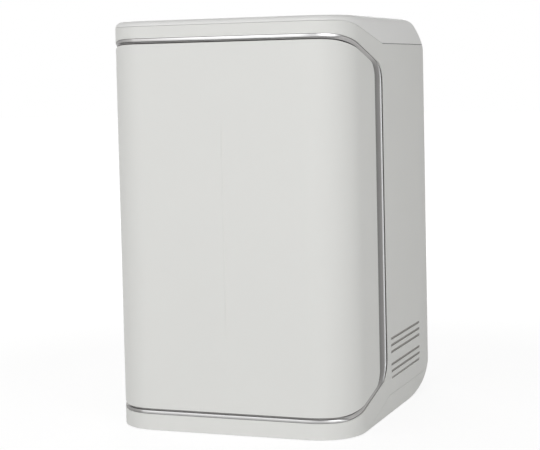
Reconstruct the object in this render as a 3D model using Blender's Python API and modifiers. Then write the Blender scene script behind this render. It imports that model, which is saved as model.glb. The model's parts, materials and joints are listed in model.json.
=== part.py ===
# Bench-top ultrapure water unit, modelled as separate pieces.
# Metres, +Z up, front towards -Y, origin under the middle of the unit on the bench.
# Side profiles are drawn as (distance behind the front face, height).

import math

import bmesh
import bpy
from mathutils import Matrix, Vector

# Overall size
WIDTH = 0.310
DEPTH = 0.390
HEIGHT = 0.498
SIDE = WIDTH / 2
FRONT = -DEPTH / 2

# Clearances and overruns
GAP = 0.0003
OVERRUN = 0.010

# Outer form
WALL = 0.003
REAR_WALL = 0.0075
BASE_Z = 0.0008
FRONT_CORNER = 0.054
REAR_CORNER_DEPTH = 0.085
REAR_CORNER_WIDTH = 0.016
TOP_ROUND = 0.008
EDGE_ROUND = 0.0025
ARC_STEPS = 10
ROUND_STEPS = 5

# Slopes at the top and the bottom of the rear
TOP_SLOPE_LENGTH = 0.1055
TOP_SLOPE_DROP = 0.0458
TOP_SLOPE_FILLET = 0.100
BOTTOM_SLOPE_LENGTH = 0.088
BOTTOM_SLOPE_RISE = 0.0378
BOTTOM_SLOPE_FILLET = 0.250
REAR_FILLET = 0.008
BOTTOM_SLOPE_ANGLE = math.atan(BOTTOM_SLOPE_RISE / BOTTOM_SLOPE_LENGTH)
BOTTOM_BEND_LENGTH = BOTTOM_SLOPE_FILLET * math.tan(BOTTOM_SLOPE_ANGLE / 2)
FLAT_FLOOR_END = DEPTH - REAR_WALL - BOTTOM_SLOPE_LENGTH - BOTTOM_BEND_LENGTH

# Door outline seen from the side: level, then slanted from a bend
DOOR_TOP_DROP = 0.0279
DOOR_TOP_Z = HEIGHT - DOOR_TOP_DROP
DOOR_TOP_BEND = 0.0115
DOOR_TOP_FALL = 0.0305
DOOR_BOTTOM_Z = 0.0272
DOOR_BOTTOM_BEND = 0.016
DOOR_BOTTOM_RISE = 0.0214
DOOR_EDGE_DEPTH = 0.119
DOOR_FILLET = 0.022
BEND_FILLET = 0.080

# Raised line on the door
RIDGE_LOW_GAP = 0.083
RIDGE_HIGH_GAP = 0.086
RIDGE_LOW_Z = DOOR_BOTTOM_Z + RIDGE_LOW_GAP
RIDGE_HIGH_Z = DOOR_TOP_Z - RIDGE_HIGH_GAP
RIDGE_WIDTH = 0.0014
RIDGE_HEIGHT = 0.0004

# Trim ring round the door
TRIM_TOP_WIDTH = 0.0070
TRIM_TOP_Z = DOOR_TOP_Z + TRIM_TOP_WIDTH
TRIM_TOP_BEND = 0.014
TRIM_TOP_FALL = 0.0396
TRIM_BOTTOM_WIDTH = 0.0068
TRIM_BOTTOM_Z = DOOR_BOTTOM_Z - TRIM_BOTTOM_WIDTH
TRIM_BOTTOM_BEND = 0.020
TRIM_BOTTOM_RISE = 0.0296
TRIM_SIDE_WIDTH = 0.0345
TRIM_EDGE_DEPTH = DOOR_EDGE_DEPTH + TRIM_SIDE_WIDTH
TRIM_FILLET = 0.027
TRIM_SINK = 0.0006
TRIM_WALL = 0.005
SHADOW_GAP = 0.0018

# Seam of the top cover
COVER_FRONT_DROP = 0.0065
COVER_FRONT_Z = HEIGHT - COVER_FRONT_DROP
COVER_LEVEL_DROP = 0.0328
COVER_LEVEL_Z = HEIGHT - COVER_LEVEL_DROP
COVER_FRONT_BEND = 0.024
COVER_BEND_DEPTH = 0.156
COVER_FILLET = 0.060

# Seam of the base pan
PAN_START_DEPTH = 0.068
PAN_SLANT_LENGTH = 0.090
PAN_BEND_DEPTH = PAN_START_DEPTH + PAN_SLANT_LENGTH
PAN_HEIGHT = 0.023
PAN_LEVEL_Z = BASE_Z + PAN_HEIGHT
PAN_FILLET = 0.020

# Liner behind the door skin
LINER_WALL = 0.002
LINER_BORDER = 0.008

# Door hinge, at the left edge of the door
HINGE_BEHIND_DOOR = 0.0065
HINGE_DEPTH = DOOR_EDGE_DEPTH + HINGE_BEHIND_DOOR
HINGE_INSET = 0.0034
HINGE_LOW_OFFSET = 0.0938
HINGE_HIGH_OFFSET = 0.101
HINGE_ZS = (DOOR_BOTTOM_Z + HINGE_LOW_OFFSET, DOOR_TOP_Z - HINGE_HIGH_OFFSET)
PIN_RADIUS = 0.0014
PIN_RUN = 0.0003
KNUCKLE_RADIUS = 0.0026
KNUCKLE_LENGTH = 0.030
EAR_THICK = 0.005
EAR_MARGIN = 0.0005
EAR_FRONT = KNUCKLE_RADIUS + EAR_MARGIN
BRACKET_START = 0.0055
LEAF_THICK = 0.0024
LEAF_LENGTH = 0.026
WEB_HALF = 0.0020
PIVOT_POCKET_FRONT = 0.0065
PIVOT_POCKET_REAR = 0.0055
HINGE_X = -SIDE + HINGE_INSET
HINGE_Y = FRONT + HINGE_DEPTH

# Catch at the right edge of the door
CATCH_HEIGHT = 0.026
CATCH_Z = (DOOR_BOTTOM_Z + DOOR_TOP_Z) / 2
CATCH_THICK = 0.004
CATCH_LENGTH = 0.013

# Front bay
BULKHEAD_SET_BACK = 0.003
BULKHEAD_DEPTH = TRIM_EDGE_DEPTH + BULKHEAD_SET_BACK
BULKHEAD_THICK = 0.003
BULKHEAD_LOW_Z = 0.026
BULKHEAD_TOP_GAP = 0.0065
BULKHEAD_HIGH_Z = COVER_LEVEL_Z - BULKHEAD_TOP_GAP
SHELF_Z = 0.050
SHELF_THICK = 0.003
SHELF_START = 0.045
SHELF_SIDE_GAP = 0.037
SHELF_HALF_WIDTH = SIDE - SHELF_SIDE_GAP

# Cartridges, their docks and release levers
CARTRIDGE_X_SHARE = 0.374
CARTRIDGE_RADIUS_SHARE = 0.284
CARTRIDGE_X = SIDE * CARTRIDGE_X_SHARE
CARTRIDGE_RADIUS = SIDE * CARTRIDGE_RADIUS_SHARE
CARTRIDGE_BACK_GAP = 0.013
CARTRIDGE_DEPTH = BULKHEAD_DEPTH - CARTRIDGE_RADIUS - CARTRIDGE_BACK_GAP
CARTRIDGE_FOOT_STEP = 0.006
CARTRIDGE_FOOT_RADIUS = CARTRIDGE_RADIUS - CARTRIDGE_FOOT_STEP
CARTRIDGE_HEAD_ROOM = 0.1487
CARTRIDGE_HEIGHT = HEIGHT - CARTRIDGE_HEAD_ROOM - SHELF_Z - SHELF_THICK - GAP
CARTRIDGE_NECK_LENGTH = 0.031
CARTRIDGE_NECK_RADIUS = 0.016
CARTRIDGE_ROUND = 0.006
DOCK_SIDE_STEP = 0.002
DOCK_WIDTH = 2 * (CARTRIDGE_RADIUS - DOCK_SIDE_STEP)
DOCK_HEIGHT = 0.036
DOCK_REACH = 0.038
DOCK_START = CARTRIDGE_DEPTH - DOCK_REACH
DOCK_ROUND = 0.003
LEVER_WIDTH = 0.040
LEVER_THICK = 0.004
LEVER_DROP = 0.036
LEVER_RISE = 0.005
LEVER_STAND_OFF = 0.0065
LEVER_PIVOT_DEPTH = DOCK_START - LEVER_STAND_OFF
LEVER_PIVOT_DROP = 0.010
LUG_THICK = 0.005
LUG_HALF_HEIGHT = 0.006
LUG_REACH = 0.005
LUG_FRONT = LEVER_PIVOT_DEPTH - LUG_REACH

# Rear panel with its service pocket
REAR_OPENING_SIDE_GAP = 0.037
REAR_OPENING_HALF = SIDE - REAR_OPENING_SIDE_GAP
REBATE = 0.009
REBATE_DEPTH = 0.0045
REAR_OPENING_LOW_Z = BASE_Z + BOTTOM_SLOPE_RISE + REAR_FILLET + REBATE
REAR_OPENING_DROP = 0.068
REAR_OPENING_HIGH_Z = HEIGHT - REAR_OPENING_DROP
PANEL_THICK = 0.0027
PANEL_FACE = DEPTH - REBATE_DEPTH + GAP + PANEL_THICK
POCKET_SIDE_GAP = 0.018
POCKET_HALF_WIDTH = REAR_OPENING_HALF - POCKET_SIDE_GAP
POCKET_LOW_GAP = 0.0104
POCKET_LOW_Z = REAR_OPENING_LOW_Z + POCKET_LOW_GAP
POCKET_HEIGHT = 0.062
POCKET_HIGH_Z = POCKET_LOW_Z + POCKET_HEIGHT
POCKET_DEEP = 0.022
POCKET_FLOOR = PANEL_FACE - POCKET_DEEP
POCKET_WALL = 0.002
SCREW_RADIUS = 0.0014
SCREW_HEAD_RADIUS = 0.003
SCREW_HEAD_HEIGHT = 0.0012
SCREW_LENGTH = 0.005
SCREW_INSET = 0.0045

# Rear connectors, all in the pocket
CONNECTOR_Z = (POCKET_LOW_Z + POCKET_HIGH_Z) / 2
INLET_SIDE_GAP = 0.034
INLET_X = -POCKET_HALF_WIDTH + INLET_SIDE_GAP
INLET_SIZE = (0.030, 0.022)
INLET_FLANGE = 0.003
INLET_FLANGE_THICK = 0.003
INLET_DEEP = 0.024
INLET_SOCKET = (0.025, 0.017)
INLET_SOCKET_DEEP = 0.018
INLET_BLADE = (0.002, 0.006, 0.012)
INLET_BLADE_PITCH = 0.007
SWITCH_PITCH = 0.046
SWITCH_X = INLET_X + SWITCH_PITCH
SWITCH_SIZE = (0.018, 0.024)
SWITCH_HOUSING_DEEP = 0.016
SWITCH_WALL = 0.0025
ROCKER_HALF_THICK = 0.0045
ROCKER_AXLE_RADIUS = 0.0015
ROCKER_SLOPE = 0.0018
DATA_PITCH = 0.032
DATA_X = SWITCH_X + DATA_PITCH
DATA_SIZE = (0.014, 0.010)
DATA_DEEP = 0.016
DATA_SOCKET = (0.010, 0.0065)
DATA_SOCKET_DEEP = 0.010
PORT_PITCH = 0.021
PORT_SIDE_GAP = 0.018
PORT_LAST_X = POCKET_HALF_WIDTH - PORT_SIDE_GAP
PORT_XS = (PORT_LAST_X - 2 * PORT_PITCH, PORT_LAST_X - PORT_PITCH, PORT_LAST_X)
PORT_RADIUS = 0.0075
PORT_FLANGE_RADIUS = 0.0095
PORT_FLANGE_THICK = 0.003
PORT_OUT = 0.010
PORT_IN = 0.014
PORT_STUB_RADIUS = 0.0045
PORT_BORE = 0.0050
COLLET_RADIUS = 0.0046
COLLET_CAP_RADIUS = 0.0065
COLLET_CAP_THICK = 0.002
COLLET_STROKE = 0.0015
COLLET_BORE = 0.0032
COLLET_REACH = 0.007

# Chassis decks, and the room between the bulkhead and the rear pocket
CHASSIS_START = BULKHEAD_DEPTH + BULKHEAD_THICK + GAP
DECK_REAR_GAP = 0.0212
DECK_END = POCKET_FLOOR - DECK_REAR_GAP
CHASSIS_ROOM = DECK_END - CHASSIS_START
DECK_THICK = 0.003
DECK_Z_SHARES = (0.3012, 0.6024)
DECK_ZS = tuple(HEIGHT * share for share in DECK_Z_SHARES)
LOWER_DECK_SIDE_GAP = 0.025
LOWER_DECK_RIGHT = SIDE - LOWER_DECK_SIDE_GAP
UPPER_DECK_SIDE_GAP = 0.060
UPPER_DECK_RIGHT = SIDE - UPPER_DECK_SIDE_GAP

# Vents on the right side
VENT_FRONT_GAP = 0.0145
VENT_START = BULKHEAD_DEPTH + VENT_FRONT_GAP
VENT_LENGTH = 0.136
VENT_END = VENT_START + VENT_LENGTH
VENT_HEIGHT = 0.0024
VENT_PITCH = 0.0084
VENT_GROUP_ZS = (0.0525, 0.0853)
VENTS_PER_GROUP = 3

# Feet
FOOT_RADIUS = 0.011
FOOT_FRONT_DEPTH = 0.100
FOOT_REAR_GAP = 0.013
FOOT_DEPTHS = (FOOT_FRONT_DEPTH, FLAT_FLOOR_END - FOOT_REAR_GAP)
FOOT_SIDE_GAP = 0.040
FOOT_X = SIDE - FOOT_SIDE_GAP
FOOT_RECESS = 0.0008

# Modules on the level part of the floor
FLOOR_ROOM = FLAT_FLOOR_END - CHASSIS_START
FLOOR_MODULE_DEPTH = CHASSIS_START + FLOOR_ROOM / 2
SUPPLY_WIDTH = 0.080
SUPPLY_HEIGHT = 0.052
SUPPLY_LENGTH_SHARE = 0.95
SUPPLY_SIZE = (SUPPLY_WIDTH, FLOOR_ROOM * SUPPLY_LENGTH_SHARE, SUPPLY_HEIGHT)
SUPPLY_SIDE_GAP = 0.015
SUPPLY_X = -SIDE + SUPPLY_SIDE_GAP + SUPPLY_WIDTH / 2
SUPPLY_ROUND = 0.002
PUMP_GAP = 0.014
BOOSTER_RADIUS = 0.028
BOOSTER_LENGTH_SHARE = 0.92
BOOSTER_LENGTH = FLOOR_ROOM * BOOSTER_LENGTH_SHARE
BOOSTER_X = SUPPLY_X + SUPPLY_WIDTH / 2 + PUMP_GAP + BOOSTER_RADIUS
RECIRC_RADIUS = 0.021
RECIRC_LENGTH_SHARE = 0.84
RECIRC_LENGTH = FLOOR_ROOM * RECIRC_LENGTH_SHARE
RECIRC_X = BOOSTER_X + BOOSTER_RADIUS + PUMP_GAP + RECIRC_RADIUS
PUMP_FOOT_HEIGHT = 0.010
PUMP_HEAD_SHARE = 0.32
PUMP_WAIST_SHARE = 0.84

# Fan behind the vents
FAN_DEPTH = (VENT_START + VENT_END) / 2
FAN_Z = (VENT_GROUP_ZS[0] + VENT_GROUP_ZS[1]) / 2
FAN_SIZE = 0.060
FAN_THICK = 0.025
FAN_RIM = 0.0015
FAN_BORE = FAN_SIZE / 2 - FAN_RIM
FAN_TIP_GAP = 0.001
FAN_TIP = FAN_BORE - FAN_TIP_GAP
FAN_HUB = 0.014
FAN_HUB_LENGTH = 0.015
FAN_ROUND = 0.003
FAN_STRUT = 0.003
FAN_PLATE_INSET = 0.0002
FAN_SPOKES = 3
FAN_SIDES = 32
FAN_SHAFT = 0.002
FAN_SHAFT_LENGTH = 0.010
FAN_BLADES = 7
BLADE_THICK = 0.0012
BLADE_CHORD = 0.013
BLADE_PITCH_ANGLE = math.radians(38)

# Modules on the decks, as shares of the chassis room in depth
RO_DEPTH_SHARE = 0.31
RO_DEPTH = CHASSIS_START + CHASSIS_ROOM * RO_DEPTH_SHARE
RO_RADIUS_SHARE = 0.185
RO_RADIUS = CHASSIS_ROOM * RO_RADIUS_SHARE
RO_END_GAP = 0.040
RO_LENGTH = WIDTH - 2 * RO_END_GAP
UV_DEPTH_SHARE = 0.30
UV_DEPTH = CHASSIS_START + CHASSIS_ROOM * UV_DEPTH_SHARE
UV_RADIUS_SHARE = 0.142
UV_RADIUS = CHASSIS_ROOM * UV_RADIUS_SHARE
UV_END_GAP = 0.065
UV_LENGTH = WIDTH - 2 * UV_END_GAP
CANISTER_X = -0.010
CAP_LENGTH = 0.016
CAP_EXTRA = 0.003
NIPPLE_RADIUS = 0.004
NIPPLE_LENGTH = 0.008
CRADLE_LENGTH_SHARE = 0.55
CRADLE_SIDE = 0.004
CRADLE_FLOOR = 0.004
CRADLE_RISE_SHARE = 0.75
BLOCK_DEPTH_SHARE = 0.755
BLOCK_DEPTH = CHASSIS_START + CHASSIS_ROOM * BLOCK_DEPTH_SHARE
MANIFOLD_WIDTH = 0.120
MANIFOLD_HEIGHT = 0.036
MANIFOLD_LENGTH_SHARE = 0.218
MANIFOLD_SIZE = (MANIFOLD_WIDTH, CHASSIS_ROOM * MANIFOLD_LENGTH_SHARE, MANIFOLD_HEIGHT)
COIL_RADIUS = 0.011
COIL_HEIGHT = 0.022
COIL_XS = (-0.040, -0.010)
CELL_X = 0.035
CELL_RADIUS = 0.009
CELL_HEIGHT = 0.048
EDI_WIDTH = 0.110
EDI_HEIGHT = 0.110
EDI_LENGTH_SHARE = 0.326
EDI_SIZE = (EDI_WIDTH, CHASSIS_ROOM * EDI_LENGTH_SHARE, EDI_HEIGHT)
EDI_ROUND = 0.003
BOARD_SIDE_GAP = 0.027
BOARD_X = -SIDE + BOARD_SIDE_GAP
BOARD_DEPTH_SHARE = 0.483
BOARD_DEPTH = CHASSIS_START + CHASSIS_ROOM * BOARD_DEPTH_SHARE
BOARD_THICK = 0.0016
BOARD_HEIGHT = 0.110
BOARD_LENGTH_SHARE = 0.762
BOARD_SIZE = (BOARD_THICK, CHASSIS_ROOM * BOARD_LENGTH_SHARE, BOARD_HEIGHT)
CHIP_SIZE = (0.004, 0.022, 0.022)
CHIP_SHARES = ((-0.30, 0.68), (0.05, 0.40), (0.30, 0.72), (-0.25, 0.25))

# Hoses
TUBE_RADIUS = 0.003
TUBE_RUN = 0.015
RISER_SIDE_GAP = 0.014
RISER_X = SIDE - RISER_SIDE_GAP
RISER_DEPTH_SHARE = 0.70
RISER_DEPTH = CHASSIS_START + CHASSIS_ROOM * RISER_DEPTH_SHARE
RISER_BEND = 0.030

PARTS = None
CUTTERS = None


# Scene and materials

def clear_scene():
    for obj in list(bpy.data.objects):
        bpy.data.objects.remove(obj, do_unlink=True)


def new_collection(name):
    collection = bpy.data.collections.new(name)
    bpy.context.scene.collection.children.link(collection)
    return collection


def material(name, colour, roughness, metallic=0.0):
    made = bpy.data.materials.new(name)
    made.use_nodes = True
    shader = made.node_tree.nodes["Principled BSDF"]
    shader.inputs["Base Color"].default_value = (*colour, 1.0)
    shader.inputs["Roughness"].default_value = roughness
    shader.inputs["Metallic"].default_value = metallic
    return made


def white_plastic(name):
    return material(name, (0.80, 0.81, 0.79), 0.35)


def grey_plastic(name):
    return material(name, (0.42, 0.44, 0.46), 0.45)


def dark_plastic(name):
    return material(name, (0.03, 0.03, 0.035), 0.45)


def blue_plastic(name):
    return material(name, (0.10, 0.32, 0.50), 0.4)


def steel(name):
    return material(name, (0.62, 0.63, 0.64), 0.28, 1.0)


def rubber(name):
    return material(name, (0.02, 0.02, 0.02), 0.85)


# Mesh helpers

def link(obj, collection):
    for old in list(obj.users_collection):
        old.objects.unlink(obj)
    collection.objects.link(obj)
    return obj


def as_cutter(obj):
    link(obj, CUTTERS)
    obj.hide_render = True
    obj.display_type = "WIRE"
    return obj


def as_part(obj, name, finish):
    link(obj, PARTS)
    obj.name = name
    obj.data.name = name
    obj.data.materials.clear()
    obj.data.materials.append(finish(name + "_finish"))
    return obj


def frozen(obj):
    """Replace an object's mesh by its evaluated one and drop the modifiers."""
    graph = bpy.context.evaluated_depsgraph_get()
    mesh = bpy.data.meshes.new_from_object(obj.evaluated_get(graph))
    obj.modifiers.clear()
    obj.data = mesh
    return obj


def boolean(target, tool, operation):
    change = target.modifiers.new(operation.lower(), "BOOLEAN")
    change.operation = operation
    change.solver = "EXACT"
    change.object = as_cutter(tool)
    return frozen(target)


def cut(target, tool):
    return boolean(target, tool, "DIFFERENCE")


def join(target, tool):
    return boolean(target, tool, "UNION")


def keep(target, tool):
    return boolean(target, tool, "INTERSECT")


def copy_of(obj):
    twin = obj.copy()
    twin.data = obj.data.copy()
    twin.hide_render = False
    twin.display_type = "TEXTURED"
    bpy.context.scene.collection.objects.link(twin)
    return twin


def prism(outlines, low, high, turn):
    """Solid between two planes from closed 2D outlines; inner outlines are holes."""
    curve = bpy.data.curves.new("outline", "CURVE")
    curve.dimensions = "2D"
    curve.fill_mode = "BOTH"
    curve.extrude = (high - low) / 2
    for outline in outlines:
        spline = curve.splines.new("POLY")
        spline.points.add(len(outline) - 1)
        for point, place in zip(spline.points, outline):
            point.co = (place[0], place[1], 0.0, 1.0)
        spline.use_cyclic_u = True
    flat = bpy.data.objects.new("outline", curve)
    bpy.context.scene.collection.objects.link(flat)
    graph = bpy.context.evaluated_depsgraph_get()
    mesh = bpy.data.meshes.new_from_object(flat.evaluated_get(graph))
    bpy.data.objects.remove(flat)
    shape = bmesh.new()
    shape.from_mesh(mesh)
    bmesh.ops.remove_doubles(shape, verts=shape.verts, dist=GAP / 10)
    shift = Matrix.Translation((0, 0, (low + high) / 2))
    bmesh.ops.transform(shape, matrix=turn @ shift, verts=shape.verts)
    bmesh.ops.recalc_face_normals(shape, faces=shape.faces)
    shape.to_mesh(mesh)
    shape.free()
    solid = bpy.data.objects.new("prism", mesh)
    bpy.context.scene.collection.objects.link(solid)
    return solid


def side_prism(outline, low, high, holes=()):
    """Outline in (depth behind the front, height), pulled along X."""
    turn = Matrix(((0, 0, 1, 0), (1, 0, 0, FRONT), (0, 1, 0, 0), (0, 0, 0, 1)))
    return prism([outline, *holes], low, high, turn)


def box(x, depth, z, size):
    """Box centred on x and depth, standing on height z."""
    shape = bmesh.new()
    bmesh.ops.create_cube(shape, size=1.0)
    bmesh.ops.scale(shape, vec=size, verts=shape.verts)
    place = (x, FRONT + depth, z + size[2] / 2)
    bmesh.ops.translate(shape, vec=place, verts=shape.verts)
    return object_from(shape, "box")


def span(x_pair, depth_pair, z_pair):
    """Box between two limits in x, depth and height."""
    size = (x_pair[1] - x_pair[0], depth_pair[1] - depth_pair[0], z_pair[1] - z_pair[0])
    middle = ((x_pair[0] + x_pair[1]) / 2, (depth_pair[0] + depth_pair[1]) / 2)
    return box(middle[0], middle[1], z_pair[0], size)


def object_from(shape, name):
    mesh = bpy.data.meshes.new(name)
    shape.to_mesh(mesh)
    shape.free()
    obj = bpy.data.objects.new(name, mesh)
    bpy.context.scene.collection.objects.link(obj)
    return obj


def rod(radius, start, end, sides=24):
    """Cylinder between two world points."""
    start = Vector(start)
    end = Vector(end)
    run = end - start
    shape = bmesh.new()
    bmesh.ops.create_cone(
        shape, cap_ends=True, segments=sides, radius1=radius, radius2=radius, depth=run.length)
    turn = run.to_track_quat("Z", "Y").to_matrix().to_4x4()
    place = Matrix.Translation((start + end) / 2) @ turn
    bmesh.ops.transform(shape, matrix=place, verts=shape.verts)
    return object_from(shape, "rod")


def turned(profile, place, axis, sides=24):
    """Solid of revolution: profile runs top to bottom as (radius, height along axis)."""
    mesh = bpy.data.meshes.new("profile")
    shape = bmesh.new()
    verts = [shape.verts.new((radius, 0, height)) for radius, height in profile]
    for low, high in zip(verts, verts[1:]):
        shape.edges.new((low, high))
    shape.to_mesh(mesh)
    shape.free()
    obj = bpy.data.objects.new("turned", mesh)
    bpy.context.scene.collection.objects.link(obj)
    screw = obj.modifiers.new("turn", "SCREW")
    screw.steps = sides
    screw.render_steps = sides
    screw.use_merge_vertices = True
    screw.merge_threshold = GAP / 10
    frozen(obj)
    turn = Vector(axis).to_track_quat("Z", "Y").to_matrix().to_4x4()
    obj.data.transform(Matrix.Translation(place) @ turn)
    smooth(obj)
    return obj


def smooth(obj):
    obj.data.shade_smooth()
    obj.data.set_sharp_from_angle(angle=math.radians(35))
    return obj


def rounded_edges(obj, width):
    bevel = obj.modifiers.new("round", "BEVEL")
    bevel.width = width
    bevel.segments = 2
    bevel.limit_method = "ANGLE"
    bevel.angle_limit = math.radians(40)
    return frozen(obj)


def filleted(corners, steps=6):
    """Polygon from (x, y, radius) corners, each radius drawn as an arc."""
    points = []
    count = len(corners)
    for index, (x, y, radius) in enumerate(corners):
        corner = Vector((x, y))
        if radius == 0:
            points.append(tuple(corner))
            continue
        before = Vector(corners[index - 1][:2]) - corner
        after = Vector(corners[(index + 1) % count][:2]) - corner
        before.normalize()
        after.normalize()
        half = math.acos(max(-1.0, min(1.0, before.dot(after)))) / 2
        centre = corner + (before + after).normalized() * (radius / math.sin(half))
        first = corner + before * (radius / math.tan(half)) - centre
        last = corner + after * (radius / math.tan(half)) - centre
        sweep = first.angle_signed(last)
        for step in range(steps + 1):
            turn = Matrix.Rotation(-sweep * step / steps, 2)
            points.append(tuple(centre + turn @ first))
    return points


def place_origin(obj, point):
    """Move an object's origin to a world point without moving its mesh."""
    obj.data.transform(Matrix.Translation(-Vector(point)))
    obj.location = point
    return obj


# Outer form

def plan_outline(inset, rear_inset):
    """Right half from the front middle to the rear middle, then mirrored."""
    half = SIDE - inset
    radius = FRONT_CORNER - inset
    rear = DEPTH - rear_inset
    corner_width = REAR_CORNER_WIDTH
    corner_depth = REAR_CORNER_DEPTH - rear_inset
    right = []
    for step in range(ARC_STEPS + 1):
        angle = math.pi / 2 * step / ARC_STEPS
        x = half - radius + radius * math.sin(angle)
        depth = inset + radius - radius * math.cos(angle)
        right.append((x, depth))
    for step in range(ARC_STEPS + 1):
        angle = math.pi / 2 * step / ARC_STEPS
        x = half - corner_width + corner_width * math.cos(angle)
        depth = rear - corner_depth + corner_depth * math.sin(angle)
        right.append((x, depth))
    left = [(-x, depth) for x, depth in reversed(right)]
    return right + left


def side_outline(inset, rear_inset):
    """Level top and bottom, each with a slope down or up to the rear face."""
    low = BASE_Z + inset
    high = HEIGHT - inset
    rear = DEPTH - rear_inset
    return filleted([
        (-OVERRUN, low, 0),
        (rear - BOTTOM_SLOPE_LENGTH, low, BOTTOM_SLOPE_FILLET),
        (rear, low + BOTTOM_SLOPE_RISE, REAR_FILLET),
        (rear, high - TOP_SLOPE_DROP, REAR_FILLET),
        (rear - TOP_SLOPE_LENGTH, high, TOP_SLOPE_FILLET),
        (-OVERRUN, high, 0),
    ])


def round_topped(inset, rear_inset):
    """Plan outline pulled up, then drawn in along a quarter round at the top."""
    radius = TOP_ROUND - inset
    shoulder = HEIGHT - inset - radius
    rings = [(-OVERRUN, 0.0)]
    for step in range(ROUND_STEPS):
        angle = math.pi / 2 * step / ROUND_STEPS
        rings.append((shoulder + radius * math.sin(angle), radius * (1 - math.cos(angle))))
    rings.append((shoulder + radius + GAP, radius))
    shape = bmesh.new()
    loops = []
    for z, drawn in rings:
        outline = plan_outline(inset + drawn, rear_inset + drawn)
        loops.append([shape.verts.new((x, FRONT + depth, z)) for x, depth in outline])
    for low, high in zip(loops, loops[1:]):
        for index in range(len(low)):
            shape.faces.new((low[index - 1], low[index], high[index], high[index - 1]))
    shape.faces.new(loops[0])
    shape.faces.new(loops[-1])
    bmesh.ops.recalc_face_normals(shape, faces=shape.faces)
    return object_from(shape, "form")


def form(inset=0.0, rear_inset=None):
    """The unit's outer form, drawn in by an inset."""
    rear = inset if rear_inset is None else rear_inset
    solid = round_topped(inset, rear)
    keep(solid, side_prism(side_outline(inset, rear), -WIDTH, WIDTH))
    if inset == 0:
        rounded_edges(solid, EDGE_ROUND)
    return solid


def skin(outer, depth_in, rear_inset=None):
    """Shell between the outer form and the form drawn in."""
    return cut(copy_of(outer), form(depth_in, rear_inset))


def cover_seam(shift):
    """Seam line of the top cover, from the front to the rear."""
    return [
        (-OVERRUN, COVER_FRONT_Z + shift, 0),
        (COVER_FRONT_BEND, COVER_FRONT_Z + shift, COVER_FILLET),
        (COVER_BEND_DEPTH, COVER_LEVEL_Z + shift, COVER_FILLET),
        (DEPTH + OVERRUN, COVER_LEVEL_Z + shift, 0),
    ]


def pan_seam(shift):
    """Seam line of the base pan, from under the front to the rear."""
    slope = (PAN_LEVEL_Z - BASE_Z) / (PAN_BEND_DEPTH - PAN_START_DEPTH)
    return [
        (PAN_START_DEPTH - OVERRUN / slope, BASE_Z - OVERRUN + shift, 0),
        (PAN_BEND_DEPTH, PAN_LEVEL_Z + shift, PAN_FILLET),
        (DEPTH + OVERRUN, PAN_LEVEL_Z + shift, 0),
    ]


def band(top, bottom, edge, fillet, grow):
    """Prism on a front outline seen from the side: level, then slanted to a rear edge.

    top and bottom are (height at the front, depth of the bend, change in height).
    """
    outline = filleted([
        (-OVERRUN, bottom[0] - grow, 0),
        (bottom[1], bottom[0] - grow, BEND_FILLET),
        (edge + grow, bottom[0] + bottom[2] - grow, fillet + grow),
        (edge + grow, top[0] - top[2] + grow, fillet + grow),
        (top[1], top[0] + grow, BEND_FILLET),
        (-OVERRUN, top[0] + grow, 0),
    ])
    return side_prism(outline, -WIDTH, WIDTH)


def door_band(grow):
    return band((DOOR_TOP_Z, DOOR_TOP_BEND, DOOR_TOP_FALL),
                (DOOR_BOTTOM_Z, DOOR_BOTTOM_BEND, DOOR_BOTTOM_RISE),
                DOOR_EDGE_DEPTH, DOOR_FILLET, grow)


def trim_band(grow):
    return band((TRIM_TOP_Z, TRIM_TOP_BEND, TRIM_TOP_FALL),
                (TRIM_BOTTOM_Z, TRIM_BOTTOM_BEND, TRIM_BOTTOM_RISE),
                TRIM_EDGE_DEPTH, TRIM_FILLET, grow)


# Covers

def body_shell(outer):
    shell = skin(outer, WALL, REAR_WALL)
    front_foot = (-OVERRUN, BASE_Z - OVERRUN, 0)
    between = filleted(cover_seam(-GAP / 2) + pan_seam(GAP / 2)[::-1] + [front_foot])
    keep(shell, side_prism(between, -WIDTH, WIDTH))
    cut(shell, trim_band(0))
    reach = REAR_OPENING_HALF
    cut(shell, span((-reach, reach), (BULKHEAD_DEPTH, DEPTH + OVERRUN),
                    (REAR_OPENING_LOW_Z, REAR_OPENING_HIGH_Z)))
    wide = reach + REBATE
    cut(shell, span((-wide, wide), (DEPTH - REBATE_DEPTH, DEPTH + OVERRUN),
                    (REAR_OPENING_LOW_Z - REBATE, REAR_OPENING_HIGH_Z + REBATE)))
    for z in VENT_GROUP_ZS:
        for index in range(VENTS_PER_GROUP):
            middle = z + (index - (VENTS_PER_GROUP - 1) / 2) * VENT_PITCH
            cut(shell, span((SIDE - WALL - OVERRUN, SIDE + OVERRUN), (VENT_START, VENT_END),
                            (middle - VENT_HEIGHT / 2, middle + VENT_HEIGHT / 2)))
    for x, z in screw_places():
        cut(shell, rod(SCREW_RADIUS + GAP, (x, FRONT + DEPTH - REAR_WALL - OVERRUN, z),
                       (x, FRONT + DEPTH, z), 12))
    return as_part(smooth(shell), "body_shell", white_plastic)


def top_cover(outer):
    cover = skin(outer, WALL, REAR_WALL)
    top = HEIGHT + OVERRUN
    area = filleted(cover_seam(GAP / 2) + [(DEPTH + OVERRUN, top, 0), (-OVERRUN, top, 0)])
    keep(cover, side_prism(area, -WIDTH, WIDTH))
    return as_part(smooth(cover), "top_cover", white_plastic)


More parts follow.
